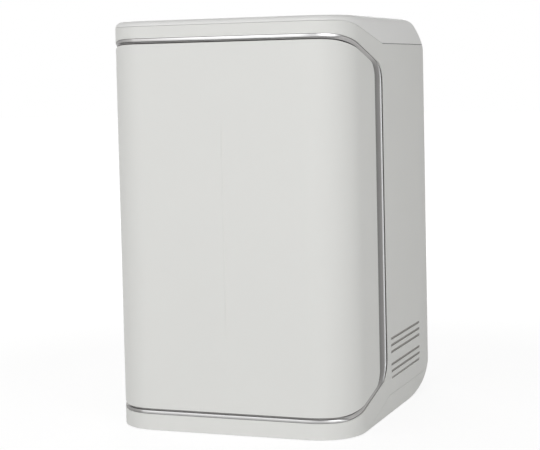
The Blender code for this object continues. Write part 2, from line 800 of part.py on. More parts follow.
def base_pan(outer):
    pan = skin(outer, WALL, REAR_WALL)
    seam = pan_seam(-GAP / 2)
    area = filleted(seam + [(DEPTH + OVERRUN, seam[0][1] - OVERRUN, 0),
                            (seam[0][0], seam[0][1] - OVERRUN, 0)])
    keep(pan, side_prism(area, -WIDTH, WIDTH))
    for x, depth in foot_places():
        socket_top = BASE_Z + FOOT_RECESS
        cut(pan, rod(FOOT_RADIUS + GAP, (x, FRONT + depth, -OVERRUN),
                     (x, FRONT + depth, socket_top)))
    return as_part(smooth(pan), "base_pan", white_plastic)


def foot_places():
    return [(x, depth) for depth in FOOT_DEPTHS for x in (-FOOT_X, FOOT_X)]


def feet():
    for index, (x, depth) in enumerate(foot_places()):
        top = BASE_Z + FOOT_RECESS - GAP
        foot = rod(FOOT_RADIUS, (x, FRONT + depth, 0), (x, FRONT + depth, top))
        as_part(smooth(foot), "foot_%d" % (index + 1), rubber)


# Front trim and door

def trim_ring():
    ring = cut(form(TRIM_SINK), form(TRIM_SINK + TRIM_WALL))
    keep(ring, trim_band(-GAP))
    cut(ring, door_band(SHADOW_GAP))
    for z in HINGE_ZS:
        half = KNUCKLE_LENGTH / 2 + EAR_THICK + 2 * GAP
        cut(ring, span((-SIDE - OVERRUN, -SIDE + OVERRUN),
                       (HINGE_DEPTH - PIVOT_POCKET_FRONT, HINGE_DEPTH + PIVOT_POCKET_REAR),
                       (z - half, z + half)))
    return as_part(smooth(ring), "trim_ring", steel)


def front_door(outer):
    door = keep(skin(outer, WALL), door_band(0))
    ridge = span((-RIDGE_WIDTH / 2, RIDGE_WIDTH / 2), (-RIDGE_HEIGHT, WALL / 2),
                 (RIDGE_LOW_Z, RIDGE_HIGH_Z))
    join(door, ridge)
    as_part(smooth(door), "front_door", white_plastic)
    liner = cut(form(WALL + GAP), form(WALL + GAP + LINER_WALL))
    keep(liner, door_band(-LINER_BORDER))
    as_part(smooth(liner), "door_liner", grey_plastic)


def hinge(z, label):
    half = KNUCKLE_LENGTH / 2
    leaf_out = -SIDE + WALL + LINER_WALL + 2 * GAP
    leaf_in = leaf_out + LEAF_THICK
    back = HINGE_DEPTH + WEB_HALF
    leaf = span((leaf_out, leaf_in), (back - LEAF_LENGTH, back), (z - half, z + half))
    join(leaf, span((HINGE_X, leaf_in), (HINGE_DEPTH - WEB_HALF, back), (z - half, z + half)))
    join(leaf, rod(KNUCKLE_RADIUS, (HINGE_X, HINGE_Y, z - half), (HINGE_X, HINGE_Y, z + half)))
    cut(leaf, rod(PIN_RADIUS + PIN_RUN, (HINGE_X, HINGE_Y, z - half - OVERRUN),
                  (HINGE_X, HINGE_Y, z + half + OVERRUN), 16))
    as_part(leaf, "door_hinge_leaf_" + label, steel)
    place_origin(leaf, (HINGE_X, HINGE_Y, z))
    total = half + GAP + EAR_THICK
    base_x = -SIDE + TRIM_SINK + TRIM_WALL + GAP
    bracket = span((base_x, base_x + LEAF_THICK),
                   (HINGE_DEPTH + BRACKET_START, BULKHEAD_DEPTH - GAP), (z - total, z + total))
    for low in (z - total, z + total - EAR_THICK):
        join(bracket, span((HINGE_X - KNUCKLE_RADIUS, base_x + LEAF_THICK),
                           (HINGE_DEPTH - EAR_FRONT, HINGE_DEPTH + BRACKET_START),
                           (low, low + EAR_THICK)))
        join(bracket, span((base_x, base_x + LEAF_THICK),
                           (HINGE_DEPTH, HINGE_DEPTH + 2 * BRACKET_START),
                           (low, low + EAR_THICK)))
    cut(bracket, rod(PIN_RADIUS + PIN_RUN, (HINGE_X, HINGE_Y, z - total - OVERRUN),
                     (HINGE_X, HINGE_Y, z + total + OVERRUN), 16))
    as_part(bracket, "hinge_bracket_" + label, steel)
    pin = rod(PIN_RADIUS, (HINGE_X, HINGE_Y, z - total), (HINGE_X, HINGE_Y, z + total), 16)
    as_part(smooth(pin), "hinge_pin_" + label, steel)


def door_catch():
    out = SIDE - WALL - LINER_WALL - 2 * GAP
    heights = (CATCH_Z - CATCH_HEIGHT / 2, CATCH_Z + CATCH_HEIGHT / 2)
    edge = DOOR_EDGE_DEPTH - LINER_BORDER
    magnet = span((out - CATCH_THICK, out), (edge - CATCH_LENGTH, edge), heights)
    as_part(magnet, "door_magnet", dark_plastic)
    strike = span((out - CATCH_THICK, out - GAP), (edge + GAP, BULKHEAD_DEPTH - GAP), heights)
    as_part(strike, "catch_plate", steel)


# Front bay

def bay_tray():
    half = SIDE - WALL - GAP
    tray = span((-half, half), (BULKHEAD_DEPTH, BULKHEAD_DEPTH + BULKHEAD_THICK),
                (BULKHEAD_LOW_Z, BULKHEAD_HIGH_Z))
    join(tray, span((-SHELF_HALF_WIDTH, SHELF_HALF_WIDTH),
                    (SHELF_START, BULKHEAD_DEPTH + BULKHEAD_THICK / 2),
                    (SHELF_Z, SHELF_Z + SHELF_THICK)))
    return as_part(tray, "bay_tray", grey_plastic)


def cartridge(x, label):
    low = SHELF_Z + SHELF_THICK + GAP
    soft = CARTRIDGE_ROUND
    shoulder = CARTRIDGE_HEIGHT - CARTRIDGE_NECK_LENGTH
    profile = [
        (0, CARTRIDGE_HEIGHT),
        (CARTRIDGE_NECK_RADIUS, CARTRIDGE_HEIGHT),
        (CARTRIDGE_NECK_RADIUS, shoulder + 2 * soft),
        (CARTRIDGE_RADIUS - 2 * soft, shoulder + soft),
        (CARTRIDGE_RADIUS, shoulder - soft),
        (CARTRIDGE_RADIUS, 3 * soft),
        (CARTRIDGE_FOOT_RADIUS, 2 * soft),
        (CARTRIDGE_FOOT_RADIUS, 0),
        (0, 0),
    ]
    body = turned(profile, (x, FRONT + CARTRIDGE_DEPTH, low), (0, 0, 1), 32)
    as_part(body, "cartridge_" + label, blue_plastic)
    dock_low = low + CARTRIDGE_HEIGHT + GAP
    pivot_z = dock_low + DOCK_HEIGHT - LEVER_PIVOT_DROP
    pivot = (x, FRONT + LEVER_PIVOT_DEPTH, pivot_z)
    half = LEVER_WIDTH / 2
    dock = span((x - DOCK_WIDTH / 2, x + DOCK_WIDTH / 2), (DOCK_START, BULKHEAD_DEPTH - GAP),
                (dock_low, dock_low + DOCK_HEIGHT))
    rounded_edges(dock, DOCK_ROUND)
    reach = half + GAP + LUG_THICK
    for side in (-1, 1):
        inner = x + side * (half + GAP)
        outer = x + side * reach
        join(dock, span((min(inner, outer), max(inner, outer)),
                        (LUG_FRONT, DOCK_START + DOCK_ROUND * 2),
                        (pivot_z - LUG_HALF_HEIGHT, pivot_z + LUG_HALF_HEIGHT)))
    run = (x - reach - OVERRUN, pivot[1], pivot_z)
    cut(dock, rod(PIN_RADIUS + PIN_RUN, run, (x + reach + OVERRUN, pivot[1], pivot_z), 16))
    as_part(dock, "dock_" + label, white_plastic)
    lever = span((x - half, x + half),
                 (LEVER_PIVOT_DEPTH - LEVER_THICK / 2, LEVER_PIVOT_DEPTH + LEVER_THICK / 2),
                 (pivot_z - LEVER_DROP, pivot_z + LEVER_RISE))
    cut(lever, rod(PIN_RADIUS + PIN_RUN, run, (x + reach + OVERRUN, pivot[1], pivot_z), 16))
    as_part(lever, "release_lever_" + label, grey_plastic)
    place_origin(lever, pivot)
    pin = rod(PIN_RADIUS, (x - reach, pivot[1], pivot_z), (x + reach, pivot[1], pivot_z), 16)
    as_part(smooth(pin), "lever_pin_" + label, steel)


# Chassis and modules

def decks():
    half = SIDE - WALL - GAP
    rights = (LOWER_DECK_RIGHT, UPPER_DECK_RIGHT)
    for label, z, right in zip(("lower", "upper"), DECK_ZS, rights):
        deck = span((-half, right), (CHASSIS_START, DECK_END), (z, z + DECK_THICK))
        form_inside = form(WALL + GAP, REAR_WALL + GAP)
        keep(deck, form_inside)
        as_part(deck, "chassis_deck_" + label, steel)


def floor_z():
    return BASE_Z + WALL + GAP


def supply():
    block = box(SUPPLY_X, FLOOR_MODULE_DEPTH, floor_z(), SUPPLY_SIZE)
    as_part(rounded_edges(block, SUPPLY_ROUND), "power_supply", steel)


def pump(x, radius, length, name):
    depth = FLOOR_MODULE_DEPTH
    z = floor_z() + PUMP_FOOT_HEIGHT + radius
    head = length * PUMP_HEAD_SHARE
    waist = radius * PUMP_WAIST_SHARE
    profile = [(0, length), (radius, length), (radius, length - head), (waist, length - head),
               (waist, 0), (0, 0)]
    body = turned(profile, (x, FRONT + depth - length / 2, z), (0, 1, 0))
    join(body, box(x, depth, floor_z(), (radius, length - head, radius + PUMP_FOOT_HEIGHT)))
    as_part(body, name, dark_plastic)


def arc_points(centre, radius, start, end, steps=ARC_STEPS):
    """Points on an arc in (depth behind the front, height)."""
    angles = [start + (end - start) * step / steps for step in range(steps + 1)]
    return [(centre[0] + radius * math.cos(angle), centre[1] + radius * math.sin(angle))
            for angle in angles]


def fan_frame(inner):
    """Square frame with a round bore, and a back plate whose spokes carry the hub."""
    half = FAN_SIZE / 2
    centre = (FAN_DEPTH, FAN_Z)
    square = filleted([(FAN_DEPTH + along * half, FAN_Z + up * half, FAN_ROUND)
                       for along, up in ((-1, -1), (1, -1), (1, 1), (-1, 1))])
    bore = arc_points(centre, FAN_BORE, 0, 2 * math.pi, FAN_SIDES)[:-1]
    frame = side_prism(square, inner, inner + FAN_THICK, [bore])
    far = FAN_BORE - FAN_RIM
    far_side = math.asin(FAN_STRUT / 2 / far)
    near_side = math.asin(FAN_STRUT / 2 / FAN_HUB)
    windows = []
    for index in range(FAN_SPOKES):
        first = 2 * math.pi * index / FAN_SPOKES
        last = 2 * math.pi * (index + 1) / FAN_SPOKES
        windows.append(arc_points(centre, far, first + far_side, last - far_side)
                       + arc_points(centre, FAN_HUB, last - near_side, first + near_side))
    rim = arc_points(centre, FAN_BORE + FAN_RIM / 2, 0, 2 * math.pi, FAN_SIDES)[:-1]
    join(frame, side_prism(rim, inner + FAN_PLATE_INSET, inner + FAN_STRUT, windows))
    y = FRONT + FAN_DEPTH
    join(frame, rod(FAN_SHAFT, (inner + FAN_STRUT / 2, y, FAN_Z),
                    (inner + FAN_STRUT + FAN_SHAFT_LENGTH, y, FAN_Z), 16))
    return as_part(frame, "fan_frame", dark_plastic)


def fan():
    inner = SIDE - WALL - GAP - FAN_THICK
    y = FRONT + FAN_DEPTH
    fan_frame(inner)
    start = inner + FAN_STRUT + GAP
    rotor = rod(FAN_HUB, (start, y, FAN_Z), (start + FAN_HUB_LENGTH, y, FAN_Z))
    for index in range(FAN_BLADES):
        blade = bmesh.new()
        bmesh.ops.create_cube(blade, size=1.0)
        root = FAN_HUB - FAN_STRUT
        bmesh.ops.scale(blade, vec=(BLADE_CHORD, BLADE_THICK, FAN_TIP - root), verts=blade.verts)
        bmesh.ops.rotate(blade, matrix=Matrix.Rotation(BLADE_PITCH_ANGLE, 3, "Z"),
                         verts=blade.verts)
        bmesh.ops.translate(blade, vec=(0, 0, (FAN_TIP + root) / 2), verts=blade.verts)
        spin = Matrix.Rotation(2 * math.pi * index / FAN_BLADES, 4, "X")
        middle = Matrix.Translation((start + FAN_HUB_LENGTH / 2, y, FAN_Z))
        bmesh.ops.transform(blade, matrix=middle @ spin, verts=blade.verts)
        join(rotor, object_from(blade, "blade"))
    cut(rotor, rod(FAN_SHAFT + PIN_RUN, (start - OVERRUN, y, FAN_Z),
                   (start + FAN_SHAFT_LENGTH + GAP, y, FAN_Z), 16))
    as_part(rotor, "fan_rotor", dark_plastic)
    place_origin(rotor, (start, y, FAN_Z))


def canister(depth, deck_z, radius, length, name, finish):
    """Lying cylinder with end caps and nipples, in its cradle on a deck."""
    cradle_z = deck_z + DECK_THICK + GAP
    z = cradle_z + CRADLE_FLOOR + GAP + radius
    x = CANISTER_X
    y = FRONT + depth
    half = length / 2
    cap = radius + CAP_EXTRA
    tip = half + NIPPLE_LENGTH
    profile = [
        (0, tip), (NIPPLE_RADIUS, tip), (NIPPLE_RADIUS, half), (cap, half),
        (cap, half - CAP_LENGTH), (radius, half - CAP_LENGTH), (radius, CAP_LENGTH - half),
        (cap, CAP_LENGTH - half), (cap, -half), (NIPPLE_RADIUS, -half), (NIPPLE_RADIUS, -tip),
        (0, -tip),
    ]
    as_part(turned(profile, (x, y, z), (1, 0, 0), 28), name, finish)
    width = 2 * (radius + CRADLE_SIDE)
    height = CRADLE_FLOOR + radius * CRADLE_RISE_SHARE
    cradle_length = length * CRADLE_LENGTH_SHARE
    cradle = box(x, depth, cradle_z, (cradle_length, width, height))
    reach = cradle_length / 2 + OVERRUN
    cut(cradle, rod(radius + GAP, (x - reach, y, z), (x + reach, y, z), 28))
    as_part(cradle, name + "_bracket", grey_plastic)
    return z


def manifold():
    depth = BLOCK_DEPTH
    z = DECK_ZS[0] + DECK_THICK + GAP
    top = z + MANIFOLD_HEIGHT
    block = box(0, depth, z, MANIFOLD_SIZE)
    for coil_x in COIL_XS:
        join(block, rod(COIL_RADIUS, (coil_x, FRONT + depth, z),
                        (coil_x, FRONT + depth, top + COIL_HEIGHT), 20))
    as_part(block, "valve_manifold", grey_plastic)
    cell = rod(CELL_RADIUS, (CELL_X, FRONT + depth, top + GAP),
               (CELL_X, FRONT + depth, top + CELL_HEIGHT))
    as_part(smooth(cell), "conductivity_cell", blue_plastic)


def upper_modules():
    z = DECK_ZS[1] + DECK_THICK + GAP
    block = box(0, BLOCK_DEPTH, z, EDI_SIZE)
    as_part(rounded_edges(block, EDI_ROUND), "edi_module", white_plastic)
    board = box(BOARD_X, BOARD_DEPTH, z, BOARD_SIZE)
    for along, up in CHIP_SHARES:
        join(board, box(BOARD_X + CHIP_SIZE[0] / 2, BOARD_DEPTH + BOARD_SIZE[1] * along,
                        z + BOARD_SIZE[2] * up - CHIP_SIZE[2] / 2, CHIP_SIZE))
    as_part(board, "control_board", blue_plastic)


# Rear panel and connectors

def screw_places():
    half = REAR_OPENING_HALF + SCREW_INSET
    low = REAR_OPENING_LOW_Z - SCREW_INSET
    high = REAR_OPENING_HIGH_Z + SCREW_INSET
    return [(x, z) for z in (low, high) for x in (-half, half)]


def rear_panel():
    half = REAR_OPENING_HALF + REBATE - GAP
    low = REAR_OPENING_LOW_Z - REBATE + GAP
    high = REAR_OPENING_HIGH_Z + REBATE - GAP
    panel = span((-half, half), (PANEL_FACE - PANEL_THICK, PANEL_FACE), (low, high))
    wall = POCKET_WALL
    join(panel, span((-POCKET_HALF_WIDTH - wall, POCKET_HALF_WIDTH + wall),
                     (POCKET_FLOOR - wall, PANEL_FACE),
                     (POCKET_LOW_Z - wall, POCKET_HIGH_Z + wall)))
    cut(panel, span((-POCKET_HALF_WIDTH, POCKET_HALF_WIDTH), (POCKET_FLOOR, DEPTH + OVERRUN),
                    (POCKET_LOW_Z, POCKET_HIGH_Z)))
    for x, z in screw_places():
        cut(panel, rod(SCREW_RADIUS + GAP, (x, FRONT + POCKET_FLOOR, z),
                       (x, FRONT + DEPTH + OVERRUN, z), 12))
    openings = [(INLET_X, INLET_SIZE), (SWITCH_X, SWITCH_SIZE), (DATA_X, DATA_SIZE)]
    for x, size in openings:
        cut(panel, span((x - size[0] / 2 - GAP, x + size[0] / 2 + GAP),
                        (POCKET_FLOOR - OVERRUN, POCKET_FLOOR + OVERRUN),
                        (CONNECTOR_Z - size[1] / 2 - GAP, CONNECTOR_Z + size[1] / 2 + GAP)))
    for x in PORT_XS:
        cut(panel, rod(PORT_RADIUS + GAP, (x, FRONT + POCKET_FLOOR - OVERRUN, CONNECTOR_Z),
                       (x, FRONT + POCKET_FLOOR + OVERRUN, CONNECTOR_Z)))
    as_part(panel, "rear_panel", grey_plastic)
    for index, (x, z) in enumerate(screw_places()):
        face = FRONT + PANEL_FACE + GAP
        screw = rod(SCREW_RADIUS, (x, face - SCREW_LENGTH, z), (x, face + GAP, z), 12)
        join(screw, rod(SCREW_HEAD_RADIUS, (x, face, z), (x, face + SCREW_HEAD_HEIGHT, z), 16))
        as_part(screw, "rear_screw_%d" % (index + 1), steel)


def socket_block(x, size, flange, deep, hole, hole_deep, name):
    """Connector body behind the pocket floor, with a flange on it and a socket in it."""
    face = POCKET_FLOOR + GAP + INLET_FLANGE_THICK
    z = CONNECTOR_Z
    body = span((x - size[0] / 2, x + size[0] / 2), (face - deep, face),
                (z - size[1] / 2, z + size[1] / 2))
    join(body, span((x - size[0] / 2 - flange, x + size[0] / 2 + flange),
                    (POCKET_FLOOR + GAP, face),
                    (z - size[1] / 2 - flange, z + size[1] / 2 + flange)))
    cut(body, span((x - hole[0] / 2, x + hole[0] / 2), (face - hole_deep, face + OVERRUN),
                   (z - hole[1] / 2, z + hole[1] / 2)))
    return as_part(body, name, dark_plastic)


def connectors():
    inlet = socket_block(INLET_X, INLET_SIZE, INLET_FLANGE, INLET_DEEP, INLET_SOCKET,
                         INLET_SOCKET_DEEP, "mains_inlet")
    root = POCKET_FLOOR + GAP + INLET_FLANGE_THICK - INLET_SOCKET_DEEP
    for index in (-1, 0, 1):
        x = INLET_X + index * INLET_BLADE_PITCH
        width, height, length = INLET_BLADE
        join(inlet, span((x - width / 2, x + width / 2), (root - POCKET_WALL / 2, root + length),
                         (CONNECTOR_Z - height / 2, CONNECTOR_Z + height / 2)))
    inner = (SWITCH_SIZE[0] - SWITCH_WALL * 2, SWITCH_SIZE[1] - SWITCH_WALL * 2)
    housing = socket_block(SWITCH_X, SWITCH_SIZE, INLET_FLANGE, SWITCH_HOUSING_DEEP, inner,
                           SWITCH_HOUSING_DEEP - SWITCH_WALL, "switch_housing")
    socket_block(DATA_X, DATA_SIZE, POCKET_WALL, DATA_DEEP, DATA_SOCKET, DATA_SOCKET_DEEP,
                 "data_connector")
    rocker(housing, inner)


def rocker(housing, inner):
    """Rocker key on its own axle, which turns in two holes of the housing."""
    y = FRONT + POCKET_FLOOR + INLET_FLANGE_THICK - ROCKER_SLOPE
    half = inner[0] / 2 - GAP
    tall = inner[1] / 2 - 3 * GAP - ROCKER_SLOPE / 2
    thick = ROCKER_HALF_THICK
    z = CONNECTOR_Z
    reach = SWITCH_SIZE[0] / 2 - SWITCH_WALL / 2
    waist = thick - ROCKER_SLOPE
    outline = [(-thick, -tall / 2), (waist, -tall), (thick, -tall), (waist, 0),
               (thick, tall), (waist, tall), (-thick, tall / 2)]
    shifted = [(y - FRONT + depth, z + rise) for depth, rise in outline]
    key = side_prism(shifted, SWITCH_X - half, SWITCH_X + half)
    join(key, rod(ROCKER_AXLE_RADIUS, (SWITCH_X - reach, y, z), (SWITCH_X + reach, y, z), 16))
    as_part(key, "power_switch", dark_plastic)
    place_origin(key, (SWITCH_X, y, z))
    cut(housing, rod(ROCKER_AXLE_RADIUS + GAP, (SWITCH_X - reach - GAP, y, z),
                     (SWITCH_X + reach + GAP, y, z), 16))


def water_ports():
    z = CONNECTOR_Z
    floor = FRONT + POCKET_FLOOR
    for x, label in zip(PORT_XS, ("feed", "drain", "product")):
        mouth = floor + GAP + PORT_FLANGE_THICK + PORT_OUT
        port = rod(PORT_RADIUS, (x, floor - PORT_IN, z), (x, mouth, z))
        join(port, rod(PORT_FLANGE_RADIUS, (x, floor + GAP, z),
                       (x, floor + GAP + PORT_FLANGE_THICK, z)))
        join(port, rod(PORT_STUB_RADIUS, (x, floor - 2 * PORT_IN, z), (x, floor, z), 16))
        cut(port, rod(PORT_BORE, (x, floor - PORT_IN + POCKET_WALL, z), (x, mouth + OVERRUN, z)))
        as_part(port, "port_" + label, white_plastic)
        start = mouth + COLLET_STROKE + GAP
        collet = rod(COLLET_RADIUS, (x, start - COLLET_REACH, z), (x, start + GAP, z))
        join(collet, rod(COLLET_CAP_RADIUS, (x, start, z), (x, start + COLLET_CAP_THICK, z)))
        cut(collet, rod(COLLET_BORE, (x, start - COLLET_REACH - OVERRUN, z),
                        (x, start + COLLET_CAP_THICK + OVERRUN, z), 16))
        as_part(collet, "collet_" + label, blue_plastic)
        place_origin(collet, (x, start, z))


def tube(points, name):
    """Hose on a smooth curve through the given points."""
    curve = bpy.data.curves.new(name, "CURVE")
    curve.dimensions = "3D"
    curve.bevel_depth = TUBE_RADIUS
    curve.bevel_resolution = 2
    curve.use_fill_caps = True
    curve.resolution_u = 4
    spline = curve.splines.new("BEZIER")
    spline.bezier_points.add(len(points) - 1)
    for knot, place in zip(spline.bezier_points, points):
        knot.co = place
        knot.handle_left_type = "AUTO"
        knot.handle_right_type = "AUTO"
    spline.bezier_points[0].handle_right_type = "VECTOR"
    spline.bezier_points[-1].handle_left_type = "VECTOR"
    obj = bpy.data.objects.new(name, curve)
    bpy.context.scene.collection.objects.link(obj)
    as_part(obj, name, white_plastic)


def stub_end(x):
    """Inner end of a water port's stub."""
    return Vector((x, FRONT + POCKET_FLOOR - 2 * PORT_IN - GAP, CONNECTOR_Z))


def tubes(ro_z, uv_z):
    ahead = Vector((TUBE_RUN, 0, 0))
    back = Vector((0, TUBE_RUN, 0))
    ro_end = Vector((CANISTER_X + RO_LENGTH / 2 + NIPPLE_LENGTH + GAP, FRONT + RO_DEPTH, ro_z))
    block_top = DECK_ZS[0] + DECK_THICK + GAP + MANIFOLD_HEIGHT
    block_end = Vector((MANIFOLD_WIDTH / 2 + GAP, FRONT + BLOCK_DEPTH,
                        block_top - MANIFOLD_HEIGHT / 2))
    tube([ro_end, ro_end + ahead / 2, (ro_end + block_end) / 2 + 2 * ahead,
          block_end + ahead / 2, block_end], "permeate_tube")
    uv_end = Vector((CANISTER_X + UV_LENGTH / 2 + NIPPLE_LENGTH + GAP, FRONT + UV_DEPTH, uv_z))
    outlet = stub_end(PORT_XS[2])
    riser = Vector((RISER_X, FRONT + RISER_DEPTH, uv_z - RISER_BEND))
    riser_foot = Vector((RISER_X, FRONT + RISER_DEPTH, CONNECTOR_Z + RISER_BEND))
    tube([uv_end, uv_end + ahead, riser, (riser + riser_foot) / 2, riser_foot,
          outlet - back, outlet], "product_tube")
    inlet = stub_end(PORT_XS[0])
    pump_end = Vector((BOOSTER_X, FRONT + FLOOR_MODULE_DEPTH + BOOSTER_LENGTH / 2 + GAP,
                       floor_z() + PUMP_FOOT_HEIGHT + BOOSTER_RADIUS))
    tube([inlet, inlet - back / 2, (inlet + pump_end) / 2, pump_end + back / 2, pump_end],
         "feed_tube")


def build():
    global PARTS, CUTTERS
    clear_scene()
    PARTS = new_collection("ultrapure_water_system")
    CUTTERS = new_collection("cutters")
    outer = as_cutter(form())
    body_shell(outer)
    top_cover(outer)
    base_pan(outer)
    trim_ring()
    front_door(outer)
    for z, label in zip(HINGE_ZS, ("lower", "upper")):
        hinge(z, label)
    door_catch()
    feet()
    bay_tray()
    cartridge(-CARTRIDGE_X, "left")
    cartridge(CARTRIDGE_X, "right")
    decks()
    supply()
    pump(BOOSTER_X, BOOSTER_RADIUS, BOOSTER_LENGTH, "booster_pump")
    pump(RECIRC_X, RECIRC_RADIUS, RECIRC_LENGTH, "recirculation_pump")
    fan()
    ro_z = canister(RO_DEPTH, DECK_ZS[0], RO_RADIUS, RO_LENGTH, "ro_module", white_plastic)
    uv_z = canister(UV_DEPTH, DECK_ZS[1], UV_RADIUS, UV_LENGTH, "uv_lamp", steel)
    manifold()
    upper_modules()
    rear_panel()
    connectors()
    water_ports()
    tubes(ro_z, uv_z)


build()
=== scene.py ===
# %% [markdown]
# # Bench-top ultrapure water unit
#
# A white laboratory appliance with softly rounded corners. Its front door wraps round
# both corners and sits in a silver trim ring. The solids of the unit are already
# modelled and come in as a fixed frame. This lesson gives them their finished surfaces,
# builds the pieces whose shape carries the look, and sets up a small photo studio.
# %% Load the frame
import json
import math

import bmesh
import bpy
from mathutils import Matrix, Vector

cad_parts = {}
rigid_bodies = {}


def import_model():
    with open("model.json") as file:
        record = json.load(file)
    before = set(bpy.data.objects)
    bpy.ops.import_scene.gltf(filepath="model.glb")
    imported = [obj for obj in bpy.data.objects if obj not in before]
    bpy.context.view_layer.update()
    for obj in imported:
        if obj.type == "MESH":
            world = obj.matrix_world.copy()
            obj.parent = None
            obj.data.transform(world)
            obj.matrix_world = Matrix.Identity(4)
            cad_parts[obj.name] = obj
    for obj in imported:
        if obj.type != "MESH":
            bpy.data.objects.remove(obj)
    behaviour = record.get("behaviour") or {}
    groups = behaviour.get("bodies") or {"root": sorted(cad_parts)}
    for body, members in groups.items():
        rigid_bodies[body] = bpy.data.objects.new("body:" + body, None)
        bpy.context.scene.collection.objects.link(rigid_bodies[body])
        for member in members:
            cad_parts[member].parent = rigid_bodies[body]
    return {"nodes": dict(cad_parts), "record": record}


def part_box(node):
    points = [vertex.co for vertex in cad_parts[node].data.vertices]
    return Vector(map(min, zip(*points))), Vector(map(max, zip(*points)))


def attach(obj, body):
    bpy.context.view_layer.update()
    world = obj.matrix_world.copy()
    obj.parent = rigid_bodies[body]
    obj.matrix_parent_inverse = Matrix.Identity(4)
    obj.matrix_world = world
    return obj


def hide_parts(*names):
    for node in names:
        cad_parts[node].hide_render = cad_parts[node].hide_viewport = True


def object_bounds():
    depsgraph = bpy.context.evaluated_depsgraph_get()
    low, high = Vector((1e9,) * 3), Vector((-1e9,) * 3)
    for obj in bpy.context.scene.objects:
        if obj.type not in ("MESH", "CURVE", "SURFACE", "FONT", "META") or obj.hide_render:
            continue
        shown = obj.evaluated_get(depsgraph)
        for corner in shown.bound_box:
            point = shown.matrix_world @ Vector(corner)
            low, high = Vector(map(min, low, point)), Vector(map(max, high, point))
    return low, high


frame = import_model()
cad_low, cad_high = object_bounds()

nodes_in = frame["nodes"]
print("nodes:", len(nodes_in), "size:", [round(v, 4) for v in cad_high - cad_low])

# %% [markdown]
# ## Sizes to work from
#
# Everything is in metres. The few sizes that the new pieces need are read from the
# frame, so they follow the solids. The outline of the door and of the trim is a band
# with slanted top and bottom edges, which is clearest when seen from the side: depth
# behind the front face against height.
# %% Key sizes
MM = 0.001
shell_low, shell_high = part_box("body_shell")
HALF_WIDTH = shell_high.x
FRONT_Y = shell_low.y
CORNER = 54 * MM
DOOR_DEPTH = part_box("front_door")[1].y - FRONT_Y
print("corner radius %.0f mm, door reaches back %.1f mm" % (CORNER / MM, DOOR_DEPTH / MM))

# %% [markdown]
# ## The camera
#
# The photograph looks at the unit from its right, a little above the middle, through
# a long lens. The camera is pitched down slightly and rolled by about one degree. The
# rest of the framing is a small vertical shift, so that views from other sides stay
# centred.
# %% Camera
VIEW_TURN = math.radians(20.59)
VIEW_PITCH = math.radians(3.525)
VIEW_ROLL = math.radians(1.289)
CAMERA_PLACE = (0.6945, -1.8811, 0.4350)
LENS = 102.8
SENSOR_WIDTH = 36
SHIFT = -0.11
FAR_CLIP = 50


def make_camera():
    right = Vector((math.cos(VIEW_TURN), math.sin(VIEW_TURN), 0))
    level = Vector((-math.sin(VIEW_TURN), math.cos(VIEW_TURN), 0))
    ahead = level * math.cos(VIEW_PITCH) - Vector((0, 0, math.sin(VIEW_PITCH)))
    up = right.cross(ahead)
    rolled_right = right * math.cos(VIEW_ROLL) - up * math.sin(VIEW_ROLL)
    rolled_up = up * math.cos(VIEW_ROLL) + right * math.sin(VIEW_ROLL)
    data = bpy.data.cameras.new("studio_camera")
    data.lens = LENS
    data.sensor_width = SENSOR_WIDTH
    data.shift_y = SHIFT
    data.clip_end = FAR_CLIP
    camera = bpy.data.objects.new("studio_camera", data)
    bpy.context.scene.collection.objects.link(camera)
    turn = Matrix((rolled_right, rolled_up, -ahead)).transposed().to_4x4()
    camera.matrix_world = Matrix.Translation(CAMERA_PLACE) @ turn
    bpy.context.scene.camera = camera
    return camera


print("camera lens:", make_camera().data.lens)

# %% [markdown]
# ## Light and floor
#
# The photograph is a cut-out on white with very soft light from the front. A grey world
# gives the even part. One large panel stands to the right of the camera and one to its
# left, so that the rounded corners shade off evenly. Smaller ones fill in from the left,
# from above and from behind, so that no side is too dark to read. Camera, glossy and
# transmission rays see a white background. The floor mixes plain white with a little
# diffuse, which keeps a shadow, and fades to full white away from the object, so that
# no horizon shows.
# %% World and lights
WORLD_LIGHT = 0.22
WORLD_COLOUR = (1.0, 0.985, 0.965, 1)
WHITE = (1, 1, 1, 1)


def links(tree, pairs):
    for out_socket, in_socket in pairs:
        tree.links.new(out_socket, in_socket)


def seen_rays(tree):
    """1 for camera, glossy and transmission rays, 0 for the rays that carry light."""
    path = tree.nodes.new("ShaderNodeLightPath")
    first = tree.nodes.new("ShaderNodeMath")
    first.operation = "ADD"
    second = tree.nodes.new("ShaderNodeMath")
    second.operation = "ADD"
    second.use_clamp = True
    links(tree, [(path.outputs["Is Camera Ray"], first.inputs[0]),
                 (path.outputs["Is Glossy Ray"], first.inputs[1]),
                 (first.outputs[0], second.inputs[0]),
                 (path.outputs["Is Transmission Ray"], second.inputs[1])])
    return second.outputs[0]


def make_world():
    world = bpy.data.worlds.new("studio")
    world.use_nodes = True
    tree = world.node_tree
    tree.nodes.clear()
    light = tree.nodes.new("ShaderNodeBackground")
    light.inputs["Color"].default_value = WORLD_COLOUR
    light.inputs["Strength"].default_value = WORLD_LIGHT
    backdrop = tree.nodes.new("ShaderNodeBackground")
    backdrop.inputs["Strength"].default_value = 1.0
    backdrop.inputs["Color"].default_value = WHITE
    mix = tree.nodes.new("ShaderNodeMixShader")
    out = tree.nodes.new("ShaderNodeOutputWorld")
    links(tree, [(seen_rays(tree), mix.inputs[0]), (light.outputs[0], mix.inputs[1]),
                 (backdrop.outputs[0], mix.inputs[2]), (mix.outputs[0], out.inputs[0])])
    bpy.context.scene.world = world


